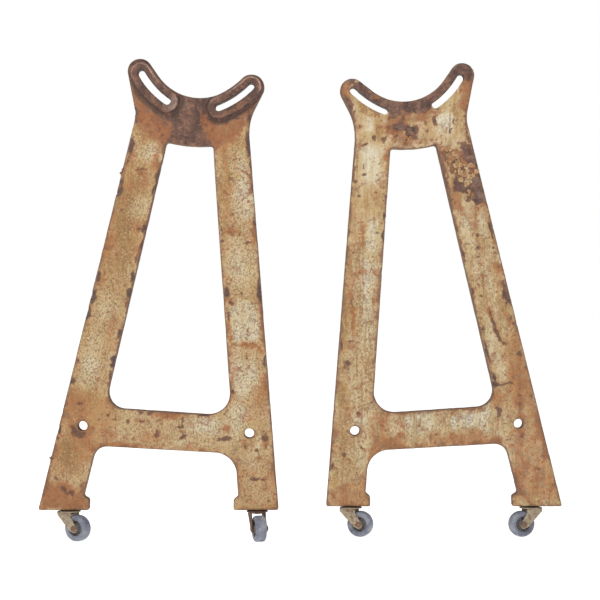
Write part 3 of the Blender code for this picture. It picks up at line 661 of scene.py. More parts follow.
                ([(458, 145), (471, 146), (482, 168), (490, 186), (495, 204), (474, 206), (467, 196), (454, 191), (452, 177), (463, 184), (471, 183), (474, 172), (468, 165), (460, 157)], 1.4, 1.15),
                ([(433, 145), (438, 146), (447, 178), (455, 210), (452, 212), (443, 180)], 1.0, 0.9),
                ([(441, 151), (448, 153), (458, 160), (468, 166), (473, 173), (471, 185), (462, 183), (452, 173), (445, 162)], 1.2, 0.62),
                ([(503, 279), (507, 284), (510, 294), (511.5, 305), (508, 304), (504, 296), (502, 288)], 0.9, 1.2),
                
            ],
            "blob": [(399, 127, 8.4, 4.6, 0, 1.4), (411, 132.5, 7.0, 6.0, 0, 1.5), (377, 97, 4, 2, 0, -0.9), (357, 82, 2.6, 2, 0, -0.7), (427, 99, 1.2, 3, 0, -0.5), (481, 211, 4, 2, 0, 0.3), (497, 412, 3.4, 7.5, 8, 0.95), (507, 438, 5, 2.6, -12, 0.6), (521, 438, 2.2, 3.2, 0, 0.7), (347, 366, 3.6, 2.2, 20, 0.45)],
        },
        "rust": {
            "area": [
                ([(338, 88), (343, 80), (350, 82), (352, 90), (349, 98), (344, 100), (339, 96)], 1.4, 0.6),
                ([(372, 95), (376, 93), (383, 99), (379, 104), (372, 101)], 1.0, 1.0),
                ([(463, 72), (471, 74), (470, 92), (467, 108), (463, 110), (456, 104), (462, 92)], 2.2, 0.6),
                ([(384, 118), (398, 116), (412, 116), (428, 110), (442, 110), (436, 118), (420, 122), (404, 122), (396, 133), (388, 132), (380, 126)], 1.8, 0.62),
                ([(396, 134), (404, 134), (410, 140), (414, 147), (398, 148), (390, 142)], 2.0, 0.5),
                ([(456, 158), (466, 164), (474, 172), (473, 182), (466, 184), (458, 178)], 1.6, 1.0),
                ([(480, 186), (500, 206), (506, 226), (492, 226), (482, 214), (474, 204)], 2.6, 0.65),
                ([(328, 480), (368, 482), (372, 508), (328, 510)], 4.0, 0.4),
                ([(372, 432), (400, 436), (404, 447), (384, 450), (370, 458), (364, 450)], 2.6, 0.75),
                ([(420, 437), (446, 432), (484, 430), (500, 438), (500, 444), (420, 447)], 2.4, 0.66),
                ([(517, 322), (524, 350), (540, 400), (556, 470), (560, 498), (512, 500), (512, 466), (506, 440), (512, 412), (506, 380), (504, 352), (508, 336)], 4.0, 0.56),
                ([(452, 196), (460, 196), (462, 214), (456, 214)], 1.6, 0.7),
            ],
            "blob": [
                (497, 268, 4, 7, -15, 0.7), (492, 238, 3.4, 6, -15, 0.7), (506, 318, 4, 8, -15, 0.6), (350, 300, 3.4, 40, -2, 0.55), (346, 395, 5, 22, 0, 0.4), (387, 160, 3, 12, 0, 0.6),
                (361, 234, 3.6, 15, 0, 0.7), (376, 196, 3, 8, 0, 0.5), (357, 414, 4, 3.4, 0, 0.8), (378, 424, 10, 10, 0, 0.5), (468, 408, 4, 1.6, 0, 0.9), (366, 478, 3, 3, 0, 0.6),
                (345, 345, 5, 8, 0, 0.5), (474, 130, 2.4, 8, -10, 0.5), (441, 160, 3, 8, -15, 0.4), (470, 215, 8, 5, -15, 0.3), (375, 300, 2.4, 60, -3, 0.35),
                (497, 400, 8, 10, 0, 0.5), (430, 430, 5, 6, 0, 0.35), (357, 130, 3, 6, 0, 0.3), (395, 128, 8, 8, 0, 0.5),
            ],
            "line": [([(490, 312), (494, 330), (504, 344)], 3.0, 0.5), ([(474, 205), (477, 235), (480, 262), (484, 290), (490, 315)], 1.8, 0.55), ([(357, 262), (353, 300), (350, 330)], 2.2, 0.4), ([(357, 276), (366, 272), (380, 271)], 0.9, 0.6)],
        },
        "pale": {
            "area": [
                ([(434, 114), (444, 111), (452, 118), (453, 130), (447, 134), (438, 132)], 2.6, 1.0),
                ([(355, 150), (366, 148), (378, 152), (380, 176), (372, 186), (360, 178), (356, 164)], 3.5, 0.8),
                ([(366, 222), (378, 220), (380, 236), (376, 254), (367, 250)], 2.6, 0.8),
                ([(448, 416), (466, 412), (486, 412), (488, 428), (470, 430), (452, 428)], 2.4, 0.9),
                ([(404, 416), (434, 412), (436, 430), (420, 436), (408, 434)], 3.0, 0.8),
                ([(366, 116), (374, 118), (372, 130), (364, 134)], 2.4, 0.8),
            ],
            "blob": [
                (368, 310, 9, 40, -2, 0.55), (484, 230, 3.4, 24, -14, 0.45), (466, 232, 5, 16, -14, 0.5), (358, 420, 8, 10, 0, 0.4), (486, 432, 3, 6, 0, 0.7), (485, 408, 3, 6, 0, 0.6),
                (362, 455, 8, 18, 0, 0.35), (355, 105, 4, 10, -30, 0.4), (482, 272, 6, 16, -14, 0.4), (488, 340, 5, 22, -14, 0.3), (500, 372, 6, 8, 0, 0.3), (371, 270, 10, 16, 0, 0.4),
            ],
            "line": [([(423, 437), (427, 443)], 1.4, 0.8)],
        },
        "dark": {
            "blob": [
                (373, 139, 3.0, 3.0, 0, 1.0), (383, 140.5, 3.0, 2.8, 0, 0.9), (364.5, 145.5, 3.2, 2.2, -10, 1.0), (434, 122, 2.2, 5.0, -12, 1.0), (452, 122, 1.2, 2.0, 0, 0.8), (449.5, 131, 1.2, 4, 14, 0.8),
                (354, 113, 1.6, 2.2, 0, 0.8), (359, 127, 1.4, 2.4, 0, 0.8), (396, 137.5, 2.2, 1.8, 0, 0.8), (388, 120, 1.4, 1.4, 0, 0.8), (402, 118, 1.2, 2.4, 0, 0.7), (380, 122, 2.0, 2.0, 0, 0.5),
                (405, 141, 2.2, 2.2, 0, 0.7), (385, 124, 1.4, 1.2, 0, 0.7), (392, 134, 1.6, 1.2, 0, 0.7), (385, 137, 1.2, 1.4, 0, 0.6), (393, 143, 1.6, 1.2, 0, 0.7), (410, 145, 1.4, 1.4, 0, 0.7), (419, 143, 1.6, 1.2, 0, 0.7), (426, 132, 1.4, 2.2, 0, 0.6), (430, 118, 1.6, 1.4, 0, 0.6), (423, 137, 1.0, 1.2, 0, 0.6), (398, 113, 1.2, 1.4, 0, 0.5), (374, 118, 1.4, 1.4, 0, 0.5), (391, 118, 5, 1.8, 10, 0.7), (402, 121, 3, 2, 0, 0.6), (389, 128, 3, 3, 0, 0.6), (398, 142, 4, 2.5, 0, 0.6), (404, 146, 3, 1.5, 0, 0.6), (424, 124, 2, 3, 0, 0.6), (415, 139, 3.5, 3, 0, 0.7), (420, 121, 4, 1.5, 0, 0.4), (448, 157, 2.5, 1.2, 40, 0.8), (453, 163, 3, 1.2, 50, 0.9), (460, 168, 2.5, 1.4, 40, 0.9), (457, 174, 2, 3, 0, 0.7), (447, 166, 1.4, 3, 0, 0.7), (474, 176, 3, 1.4, -30, 0.8), (443, 153, 1.4, 4, 20, 0.8), (451, 158, 4, 1.3, 20, 0.8), (464, 176, 1.5, 4, 20, 0.8), (469, 168, 3.5, 1.3, -20, 0.7), (461, 183, 4, 1.5, 30, 0.8), (450, 172, 1.6, 4, -10, 0.7), (468, 186, 4, 1.6, 0, 0.9), (413, 139, 3, 1.2, 20, 0.6), (417, 131, 1.6, 3, 0, 0.8), (430, 141, 3, 1.2, 10, 0.5),
                (362, 168, 1.2, 3, 0, 0.8), (363, 175.5, 2.8, 1.8, -20, 0.9), (377, 176, 1.2, 1.6, 0, 0.5), (354.5, 183, 2.4, 1.7, 0, 0.95), (358, 197, 1.8, 1.5, 0, 0.9), (375, 193.5, 1.6, 1.6, 0, 0.8),
                (376, 199, 1.4, 3, 0, 0.5), (371.5, 204, 1.2, 1.0, 0, 0.8), (361.5, 203, 1.0, 1.0, 0, 0.6), (366.5, 203, 0.9, 0.9, 0, 0.5), (367, 222, 1.6, 2.4, 0, 0.5), (375.5, 233.5, 1.6, 1.5, 0, 0.95),
                (351.5, 253.5, 1.2, 1.2, 0, 0.8), (361, 326.5, 1.8, 1.6, 0, 0.8), (350, 341, 3.2, 1.6, -10, 0.7), (353, 346, 1.2, 2.4, 0, 0.5), (347, 363, 3.0, 2.0, 20, 0.95), (345, 368, 1.2, 2, 0, 0.6),
                (339, 383, 1.6, 3, 0, 0.5), (357, 413, 2.4, 1.6, 0, 0.8), (343, 454, 2.8, 3.0, -30, 0.8), (341, 449, 1.4, 1.4, 0, 0.4), (361, 447, 1.3, 1.3, 0, 0.7), (367, 478, 1.8, 1.4, 0, 0.6),
                (390, 432, 1.6, 1.4, 0, 0.5), (436, 435, 2.4, 1.4, 0, 0.7), (346, 503, 1.4, 1.4, 0, 0.5), (355, 506, 1.6, 1.0, 0, 0.5), (370, 403, 2.2, 2.0, 0, 0.5),
                (467, 200, 3.4, 3.2, 0, 1.0), (480.5, 207.5, 1.6, 1.4, 0, 0.7), (464, 216, 2.4, 1.6, 0, 0.5), (476.5, 235, 1.5, 1.9, 0, 0.9), (481.5, 236, 1.3, 1.1, 0, 0.5), (467, 244.5, 2.6, 1.1, 6, 0.8), (472, 243.5, 1.2, 0.8, 0, 0.6),
                (476, 248.5, 1.8, 2.2, 0, 0.9), (476, 257, 1.5, 1.4, 0, 0.8), (485, 247, 1.6, 1.2, 0, 0.6), (490, 243.5, 1.4, 1.3, 0, 0.7), (492, 247.5, 1.4, 1.1, 0, 0.8), (493, 254, 1.6, 1.5, 0, 0.7), (498, 267, 1.2, 2.0, 0, 0.6),
                (471, 280, 1.2, 1.0, 0, 0.6), (480.5, 296.5, 1.9, 1.2, 10, 0.95), (489, 333.5, 1.5, 1.2, 0, 0.9), (483, 333, 1.2, 1.2, 0, 0.5), (490, 314, 1.2, 3.2, -14, 0.8), (510, 318, 2.2, 2.6, 0, 0.9), (515, 325, 1.4, 2.2, 0, 0.6),
                (518, 353.5, 3.2, 3.0, 0, 1.0), (524.5, 367, 1.6, 3.2, -14, 0.9), (511, 363, 1.2, 1.2, 0, 0.4), (526.5, 388, 1.2, 1.6, 0, 0.5), (530, 397, 2.2, 4.0, -14, 0.8), (518, 396, 2.8, 1.4, 0, 0.7), (517.5, 404, 1.8, 2.6, 0, 0.8),
                (506, 400, 1.6, 0.9, 0, 0.7), (505, 424, 1.8, 1.0, 0, 0.8), (508, 381, 1.4, 1.4, 0, 0.5), (538, 469, 3.0, 1.6, -6, 0.7), (535, 454, 1.4, 2.0, 0, 0.5), (531, 481, 2.4, 1.2, 0, 0.4), (548, 478, 3, 0.9, 12, 0.45),
                (440, 130, 1.0, 1.2, 0, 0.4), (465, 170, 2.0, 1.2, 40, 0.8), (470, 176, 1.6, 1.6, 0, 0.7), (460, 177, 1.2, 2.2, 0, 0.6),
            ],
            "line": [
                ([(491.0, 319), (493.5, 330), (498.5, 339), (502, 344)], 1.5, 1.0), ([(502, 344), (507, 344.5)], 0.5, 0.7), ([(496, 384), (500, 385), (503, 384), (510, 382.5)], 1.0, 1.0),
                ([(471, 78), (471, 92), (467.5, 108), (465, 122), (466, 136), (470, 150)], 1.5, 0.75), ([(336, 91), (341, 104), (348, 117), (352.5, 130), (353, 150), (352, 180)], 1.6, 0.85), ([(474, 203), (475.5, 230), (478.5, 255), (482, 285), (486, 300), (489, 313)], 0.7, 0.5), ([(444, 150), (450, 158), (457, 163), (462, 172)], 0.9, 0.8),
                ([(448, 153), (446, 158)], 0.7, 0.6), ([(455, 158), (462, 156)], 0.7, 0.6), ([(455, 168), (452, 174)], 0.7, 0.6),
                ([(357, 250), (354, 290), (350, 335)], 1.2, 0.3), ([(488, 210), (492, 236)], 0.7, 0.35),
            ],
        },
        "chip": {
            "blob": [
                (489.4, 229, 1.8, 8, -14, 1.0), (491.5, 240, 1.2, 5, -14, 0.6), (506, 290, 1.0, 10, -17, 0.5), (462, 254, 1.6, 7, -14, 0.8), (455.5, 229, 1.2, 4, -14, 0.6), (459.5, 243, 1.2, 3, -14, 0.6), (471.5, 291, 1.5, 4, -14, 0.8), (482, 331, 1.4, 4, -14, 0.7),
                (479, 320, 1.0, 8, -14, 0.5), (486, 352, 1.3, 14, -14, 0.9), (492.5, 377, 2.0, 5, -20, 1.0), (494, 384.5, 3.6, 2.4, 0, 1.0), (512.5, 325, 1.2, 4, -14, 0.6),
                (384, 217, 1.6, 5, 0, 0.9), (382, 236, 1.6, 6, 0, 0.8), (381, 272, 1.2, 6, 0, 0.6), (375, 396, 1.6, 6, 0, 0.7), (385.5, 200, 1.0, 6, 0, 0.5), (341.5, 345, 1.8, 7, 0, 0.7), (344.5, 272, 1.2, 6, 0, 0.5), (338, 384, 1.4, 6, 0, 0.5),
                (353.5, 145, 1.2, 4, 0, 0.6), (331.5, 466, 1.6, 5, 0, 0.7), (349.5, 215, 1.2, 12, 0, 0.5), (517, 345, 1.2, 5, -14, 0.4), (540, 428, 1.2, 4, -14, 0.4), (348, 233, 1.4, 3, 0, 0.6),
            ],
        },
        "shine": {
            "blob": [(412, 132, 6, 5.0, 0, 0.55), (399, 127, 7, 4, 0, 0.45), (404, 110, 10, 2.0, 0, 0.25), (468, 181, 12, 7, 0, 0.7), (482, 196, 10, 8, 0, 0.6), (474, 160, 5, 10, -14, 0.35), (461, 65, 9, 3.4, -10, 0.6), (452, 73, 3, 8, 40, 0.4), (346, 80, 8, 3, 10, 0.6), (368, 92, 9, 2, -35, 0.3)],
            "line": [([(388, 106), (388, 110)], 0.7, 0.6), ([(409, 103), (408, 107)], 0.7, 0.5), ([(427, 97), (427, 101)], 0.9, 0.7), ([(391, 113), (395, 116)], 0.8, 0.5)],
        },
        "craze": {
            "blob": [(367, 300, 16, 46, 0, 0.6), (360, 400, 16, 50, 0, 0.5), (430, 425, 50, 12, 0, 0.5), (475, 240, 12, 30, 0, 0.2), (365, 170, 20, 44, 0, -0.6), (400, 130, 50, 16, 0, -0.6), (460, 170, 20, 40, -14, -0.5), (362, 215, 16, 26, 0, -0.3)],
        },
        "ochre": {
            "area": [
                ([(346, 88), (352, 92), (366, 102), (384, 112), (372, 118), (358, 112), (350, 102)], 2.0, 0.6),
                ([(454, 104), (463, 112), (464, 132), (455, 138), (452, 122), (446, 112)], 3.0, 0.5),
                ([(414, 124), (430, 118), (433, 130), (436, 142), (418, 146), (412, 140)], 2.0, 0.5),
                ([(449, 178), (456, 182), (460, 196), (454, 200)], 2.0, 0.8),
            ],
            "blob": [(352, 225, 4, 34, 0, 0.6), (387, 165, 4, 20, 0, 0.6), (379, 225, 2.4, 30, 0, 0.6), (503, 300, 6, 40, -16, 0.6), (514, 370, 10, 30, -14, 0.6), (340, 425, 8, 40, 0, 0.5), (378, 132, 6, 8, 0, 0.5), (505, 400, 14, 14, 0, 0.5), (345, 300, 4, 40, 0, 0.5), (474, 290, 4, 30, -14, 0.4)],
        },
    },
}
# crumbs of old paint and scale standing off the edges, front-view grid: (u, v, direction in degrees, length, radius) in mm for the last two
CRUMBS = {
    "left": [(51.8, 457.2, 176, 5.5, 1.9), (122.9, 169.2, 165, 4.4, 2.4), (121.6, 172.4, 192, 4.8, 2.4), (65.6, 405.5, 175, 2.4, 1.8), (64.2, 412.5, 180, 2.2, 1.6), (60.2, 427.0, 180, 2.4, 2.2), (58.9, 431.0, 180, 2.2, 1.8),
             (57.0, 437.0, 180, 1.8, 1.6), (89.3, 311.0, 180, 2.0, 2.4), (94.6, 292.0, 180, 1.6, 2.0), (54.5, 446.0, 180, 1.2, 1.4), (254.3, 222.0, 0, 1.6, 1.6), (103.8, 258.0, 180, 1.2, 1.6)],
    "right": [(385.0, 217.0, 0, 1.4, 2.2), (383.0, 237.0, 0, 1.4, 2.0), (462.0, 255.0, 190, 1.4, 2.2), (345.0, 270.0, 180, 1.0, 1.8), (485.4, 352.0, 190, 1.2, 2.0)],
}
KEYS = ("brown", "ridge_highlight", "bare", "rust", "pale", "dark", "chip", "shine", "craze", "ochre")


def paint_marks(side, x, z, keys):
    """The listed marks of a side's camera face as {key: array} at casting positions x, z."""
    grid = front_grid(side)
    step = 1 / 0.65 if side == "left" else 1 / 0.6385
    out = {}
    for key in keys:
        kinds = MARKS[side].get(key, {})
        total = np.zeros(len(x))
        for u, v, ru, rv, tilt, s in kinds.get("blob", ()):
            # tilts are clockwise in front view; the right casting is seen from behind
            bx, bz = grid(u, v)
            total += blob(x, z, (bx, bz, ru * step, rv * step, -tilt if side == "left" else tilt, s))
        for points, half, s in kinds.get("line", ()):
            d = path_distance(x, z, [grid(*q) for q in points])
            total += s * smoothstep((half + 1.1) * step, max(0.0, half - 0.9) * step, d)
        for points, soft, s in kinds.get("area", ()):
            total += s * region(x, z, [grid(*q) for q in points], (0.6 + 1.3 * soft) * step)
        out[key] = total
    return out


def scattered_marks(p, n, face, seed):
    """Marks of the same kinds on the faces nobody sees in front view, placed by a seeded rule."""
    rng = np.random.default_rng(seed)
    spots = p[n[:, 1] * face > 0.9]
    out = {key: np.zeros(len(p)) for key in KEYS}
    x, z = p[:, 0], p[:, 2]
    plan = (
        ("rust", 46, (5, 26), 0.75), ("pale", 26, (8, 34), 0.8), ("dark", 120, (1.5, 6.5), 0.95), ("ochre", 16, (10, 40), 0.6),
        ("craze", 14, (20, 60), 0.5), ("bare", 7, (4, 12), 0.8), ("shine", 3, (4, 10), 0.4),
    )
    for key, count, (lo, hi), strength in plan:
        for k in range(count):
            sx, _, sz = spots[int(rng.random() * len(spots))]
            r = lo + (hi - lo) * rng.random() ** 2
            aspect = 0.5 + rng.random()
            out[key] += blob(x, z, (sx, sz, r * aspect, r / aspect, rng.random() * 180, strength * (0.5 + 0.5 * rng.random())))
    return out


def arc_gap(x, z):
    """Distance to the nearer slot centreline."""
    return np.minimum(*[path_distance(x, z, arc_points(s)) for s in (SLOT_L, SLOT_R)])


def casting(side):
    obj = casting_solid(side)
    p, n = grown(obj)                               # mm, in the casting's own frame
    front = -1 if side == "left" else 1             # which way local y faces the camera
    xz = p[:, [0, 2]]
    d_edge = np.minimum(loop_distance(xz, OUTLINE), loop_distance(xz, WINDOW))
    d_hole = np.minimum.reduce([np.hypot(p[:, 0] - x, p[:, 2] - z) - HOLE_RAD for x, z in HOLES])
    gap = arc_gap(p[:, 0], p[:, 2])
    pad_side = smoothstep(PLATE_T / 2 + 0.5, PLATE_T / 2 + 2.0, -p[:, 1])     # 1 up on the pads
    seed = 11 if side == "left" else 57

    big = fbm(p, 70, seed, 4)
    mid = fbm(p, 18, seed + 3, 4)
    fine = fbm(p, 6, seed + 5, 3)

    # ragged borders: look the marks up at positions pushed about by noise, further for the broad ones
    push = [fbm(p, 16, seed + 61 + k, 3) - 0.5 for k in (0, 1)]
    fray = [fbm(p, 4.5, seed + 66 + k, 2) - 0.5 for k in (0, 1)]
    near = [p[:, 0] + 5.0 * push[0] + 4.0 * fray[0], p[:, 2] + 5.0 * push[1] + 4.0 * fray[1]]
    far = [p[:, 0] + 16.0 * push[0] + 8.0 * fray[0], p[:, 2] + 16.0 * push[1] + 8.0 * fray[1]]
    seen = paint_marks(side, *near, ("dark", "chip", "shine"))
    seen.update(paint_marks(side, *far, ("brown", "bare", "rust", "pale", "craze", "ochre")))
    seen.update(paint_marks(side, p[:, 0], p[:, 2], ("ridge_highlight",)))
    hidden = scattered_marks(np.stack([far[0], p[:, 1], far[1]], 1), n, -front, seed + 80)
    camera_side = smoothstep(-3.0, 3.0, p[:, 1] * front)
    m = {k: camera_side * seen[k] + (1 - camera_side) * hidden[k] for k in KEYS}
    rim = smoothstep(0.75, 0.35, np.abs(n[:, 1]))  # the casting's narrow sides

    height = p[:, 2]
    edge_stain = np.clip(0.55 + 4.0 * (mid - 0.5), 0.0, 1.2)
    rust = 0.34 * big + 0.85 * edge_stain * np.exp(-d_edge / (7.5 if side == "left" else 6.0)) + 0.20 * np.exp(-np.maximum(d_hole, 0) / 6.0) + 0.14 * smoothstep(150, 50, height) + m["rust"]
    bare = m["bare"] + 0.12 * np.exp(-d_edge / 2.0)
    shine = m["shine"]
    if side == "left":
        spared = blob(far[0], far[1], (*front_grid(side)(204, 119), 6.5, 13, 0, 0.8)) * smoothstep(17.5, 19.5, gap)   # rust creeps up to the pad here
        pads = smoothstep(24.5, 20.5, gap + 2.0 * (mid - 0.5)) * camera_side * (1 - spared)
        bare = np.maximum(bare, 1.1 * pads)
        # painted highlight along the pads' rounded shoulder, varied by noise and added to the shine mask
        shoulder_highlight = np.exp(-((gap - 14.6) / 1.7) ** 2) * pad_side
        shine = shine + shoulder_highlight * (0.15 + 0.5 * (fbm(p, 30, seed + 91, 2) - 0.35))
    else:
        bare = np.maximum(bare, 0.8 * pad_side)
        bare = bare + (1 - camera_side) * 0.9 * smoothstep(655, 690, height + 50 * (big - 0.5))
    if side == "left":
        bare = bare + (1 - camera_side) * 0.8 * smoothstep(664, 700, height + 60 * (big - 0.5))
    bare = bare + rim * (0.30 + 0.5 * (mid - 0.5) + 0.35 * smoothstep(600, 690, height))
    rust = rust + rim * 0.22
    chips, own = cells(p, 12, seed + 9)
    chip = (own > 0.82) * smoothstep(3.4, 1.6, chips + 2.4 * (fine - 0.5)) * smoothstep(5.5, 1.5, d_edge) * (1 - 0.5 * camera_side)
    chip = np.clip(chip + m["chip"], 0, 1)
    craze = 0.55 + m["craze"] + 0.5 * (big - 0.5)
    # dark outline along the edges and round the holes: worn paint plus painted shade on the rounded edges and in the
    # holes
    line = np.maximum(np.exp(-d_edge / ((1.2 if side == "left" else 1.7) + 2.4 * edge_stain)), 0.85 * np.exp(-np.maximum(d_hole, 0) / 2.0))

    # the pads' painted light: painted shade on the flank and round the foot where the pads' shadow falls, a painted
    # dark lip at the slot, a darker inner land, and a painted highlight along the ridge between
    shade = np.zeros(len(p))
    ridge_highlight = np.zeros(len(p))
    if side == "left":
        wob = gap + 1.6 * (mid - 0.5) * 2
        shade = camera_side * (0.55 * smoothstep(15.6, 18.2, wob) * smoothstep(21.5, 19.5, wob) + 0.95 * np.exp(-((wob - 22.6) / 2.4) ** 2) + 0.45 * np.exp(-((wob - 25.5) / 3.0) ** 2))
        shade = shade * (1 - spared)
        shade = shade + 0.55 * np.exp(-((gap - 5.6) / 1.6) ** 2) * pad_side + 0.25 * smoothstep(13.0, 9.0, gap) * pad_side
        # painted highlight along the pads' rounded ridge, stronger at the listed marks
        ridge_highlight = (0.16 + 0.72 * m["ridge_highlight"]) * np.exp(-((gap - 14.2 + 0.8 * (mid - 0.5)) / 1.35) ** 2) * pad_side

    # relief: slow waviness, cast grain, pits in rust, paint missing where iron shows, nicks along the edges
    worn = smoothstep(0.42, 0.60, bare + 0.5 * (mid - 0.5))
    pit, pit_own = cells(p, 9, seed + 21)
    relief = -0.30 * fbm(p, 90, seed + 31, 2)
    relief -= 0.24 * fine
    relief -= 0.25 * worn * (1 - pad_side)
    relief -= 0.40 * (pit_own > 0.72) * smoothstep(2.6, 0.6, pit) * smoothstep(0.3, 0.8, rust + bare)
    relief -= 0.95 * smoothstep(0.35, 0.75, chip + 0.5 * (fine - 0.5)) * smoothstep(6.0, 2.0, d_edge)
    relief -= 0.35 * np.clip(m["dark"], 0, 1) * camera_side
    nick, nick_own = cells(p, 15, seed + 41)
    relief -= 0.8 * (nick_own > 0.72) * smoothstep(3.8, 1.0, nick) * smoothstep(3.0, 0.5, d_edge)
    # a shallow dish inside each pad's shoulder
    relief -= 0.45 * smoothstep(13.0, 9.5, gap) * pad_side
    # paint that lifts in plates where it flakes
    plates, plate_own = cells(p, 5.5, seed + 71)
    lift = np.clip(m["rust"] * 0.5 + m["craze"] * 0.2, 0, 1) * (1 - worn)
    relief += 0.28 * lift * (plate_own - 0.45) * smoothstep(3.2, 1.4, plates)
    p = p + n * relief[:, None]

    me = obj.data
    one = np.ones(len(p))

    def store(name, *channels):
        me.attributes.new(name, "FLOAT_COLOR", "POINT").data.foreach_set(
            "color", np.stack([np.clip(c, 0, 1.5) for c in channels] + [one] * (4 - len(channels)), 1).ravel())

    store("wear", rust, bare, np.clip(m["pale"], 0, 1.5))
    store("marks", m["dark"], chip, line)
    store("tone", craze, m["ochre"], shine)
    store("form", m["brown"], shade, ridge_highlight)
    w = p * MM
    if side == "left":
        world = w + np.array((-FRAME_OFFSET_X, PLANE_Y[side], 0)) * MM
    else:
        world = w * np.array((-1, -1, 1)) + np.array((FRAME_OFFSET_X, PLANE_Y[side], 0)) * MM
    me.vertices.foreach_set("co", world.ravel())
    me.shade_smooth()
    me.update()
    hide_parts(side + "_frame")
    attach(obj, side + "_leg")
    return obj


# Patches where the paint has lifted in curled flakes, front-view grid: (polygon, how many, smallest and largest half width in mm)
FLAKING = {
    "left": [([(137, 168), (146, 167), (147, 172), (138, 173)], 6, 1.3, 2.4), ([(233, 229), (240, 228), (241, 235), (234, 236)], 6, 1.3, 2.6)],
    "right": [
        ([(440, 149), (446, 148), (456, 154), (452, 160), (443, 158)], 17, 2.0, 4.6),
        ([(446, 158), (456, 156), (462, 166), (458, 174), (450, 172)], 20, 2.0, 5.0),
        ([(458, 166), (468, 162), (476, 172), (474, 184), (466, 187), (458, 180)], 30, 2.0, 5.2),
        ([(460, 192), (470, 190), (472, 198), (462, 200)], 8, 1.4, 3.0),
        ([(410, 120), (418, 121), (417, 127), (410, 127)], 4, 1.4, 2.6),
        ([(400, 138), (416, 138), (414, 145), (402, 144)], 10, 1.4, 3.0),
    ],
}


def flakes(side):
    """Small curled plates of paint, each a closed thin shell, sitting on the casting's camera face."""
    rng = np.random.default_rng(5 if side == "left" else 6)
    grid = front_grid(side)
    front = -1 if side == "left" else 1
    verts, faces, tint = [], [], []
    for polygon, count, lo, hi in FLAKING[side]:
        corners = np.array([grid(*q) for q in polygon])
        low, high = corners.min(0), corners.max(0)
        loop = [tuple(c) for c in corners]
        made = 0
        while made < count:
            x, z = low + (high - low) * rng.random(2)
            if not inside(np.array([x]), np.array([z]), loop)[0]:
                continue
            made += 1
            r = lo + (hi - lo) * rng.random() ** 1.4
            k = int(rng.integers(6, 9))
            curl = (0.5 + 0.9 * rng.random()) / (r * r)
            lean = (rng.random(2) - 0.5) * 0.5
            turn = rng.random() * 6.28
            stretch = 0.7 + 0.5 * rng.random()
            thick = 0.35 + 0.2 * rng.random()
            ground = PLATE_T / 2 - 0.75
            start = len(verts)
            rust, pale = 0.35 + 0.75 * rng.random(), max(0.0, 0.9 * rng.random() - 0.45)
            for level in (0, 1):                    # under side, then top side
                rings = ((0.0, 1), (0.55, k), (1.0, k))
                for f, m in rings:
                    for j in range(m):
                        a = turn + 2 * math.pi * j / k
                        rough_r = r * f * (1.0 if f < 1 else 0.78 + 0.4 * ((math.sin(a * 3.0 + turn * 7) + 1) / 2))
                        u, v = rough_r * math.cos(a), rough_r * stretch * math.sin(a)
                        lift = curl * (u * u + 0.35 * v * v) + lean[0] * u + lean[1] * v + abs(lean[0]) * r * 0.5
                        verts.append((x + u, front * (ground + lift + level * thick), z + v))
                        tint.append((rust, 0.0, pale, 1.0))
            n = 1 + 2 * k

            def at(level, ring, j):
                return start + level * n + (0 if ring == 0 else 1 + (ring - 1) * k + j % k)

            for j in range(k):
                faces.append((at(1, 0, 0), at(1, 1, j), at(1, 1, j + 1)))
                faces.append((at(1, 1, j), at(1, 2, j), at(1, 2, j + 1), at(1, 1, j + 1)))
                faces.append((at(0, 0, 0), at(0, 1, j + 1), at(0, 1, j)))
                faces.append((at(0, 1, j + 1), at(0, 2, j + 1), at(0, 2, j), at(0, 1, j)))
                faces.append((at(0, 2, j), at(0, 2, j + 1), at(1, 2, j + 1), at(1, 2, j)))
    p = np.array(verts)
    if side == "left":
        w = p + np.array((-FRAME_OFFSET_X, PLANE_Y[side], 0))
    else:
        w = p * np.array((-1, -1, 1)) + np.array((FRAME_OFFSET_X, PLANE_Y[side], 0))
    mesh = bpy.data.meshes.new(side + "_leg_paint_flakes")
    mesh.from_pydata([tuple(q) for q in w * MM], [], faces)
    bm = bmesh.new()
    bm.from_mesh(mesh)
    bmesh.ops.recalc_face_normals(bm, faces=bm.faces)
    bm.to_mesh(mesh)
    bm.free()
    zero = np.zeros((len(p), 4))
    mesh.attributes.new("wear", "FLOAT_COLOR", "POINT").data.foreach_set("color", np.array(tint).ravel())
    mesh.attributes.new("marks", "FLOAT_COLOR", "POINT").data.foreach_set("color", zero.ravel())
    mesh.attributes.new("tone", "FLOAT_COLOR", "POINT").data.foreach_set("color", zero.ravel())
    mesh.attributes.new("form", "FLOAT_COLOR", "POINT").data.foreach_set("color", zero.ravel())
    obj = link(side + "_leg_paint_flakes", mesh)
    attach(obj, side + "_leg")
    return obj


# ------------------------------------------------------------------ shader graphs
def lin(r, g, b):
    f = lambda c: c / 12.92 if c <= 0.04045 else ((c + 0.055) / 1.055) ** 2.4
    return (f(r / 255), f(g / 255), f(b / 255), 1.0)


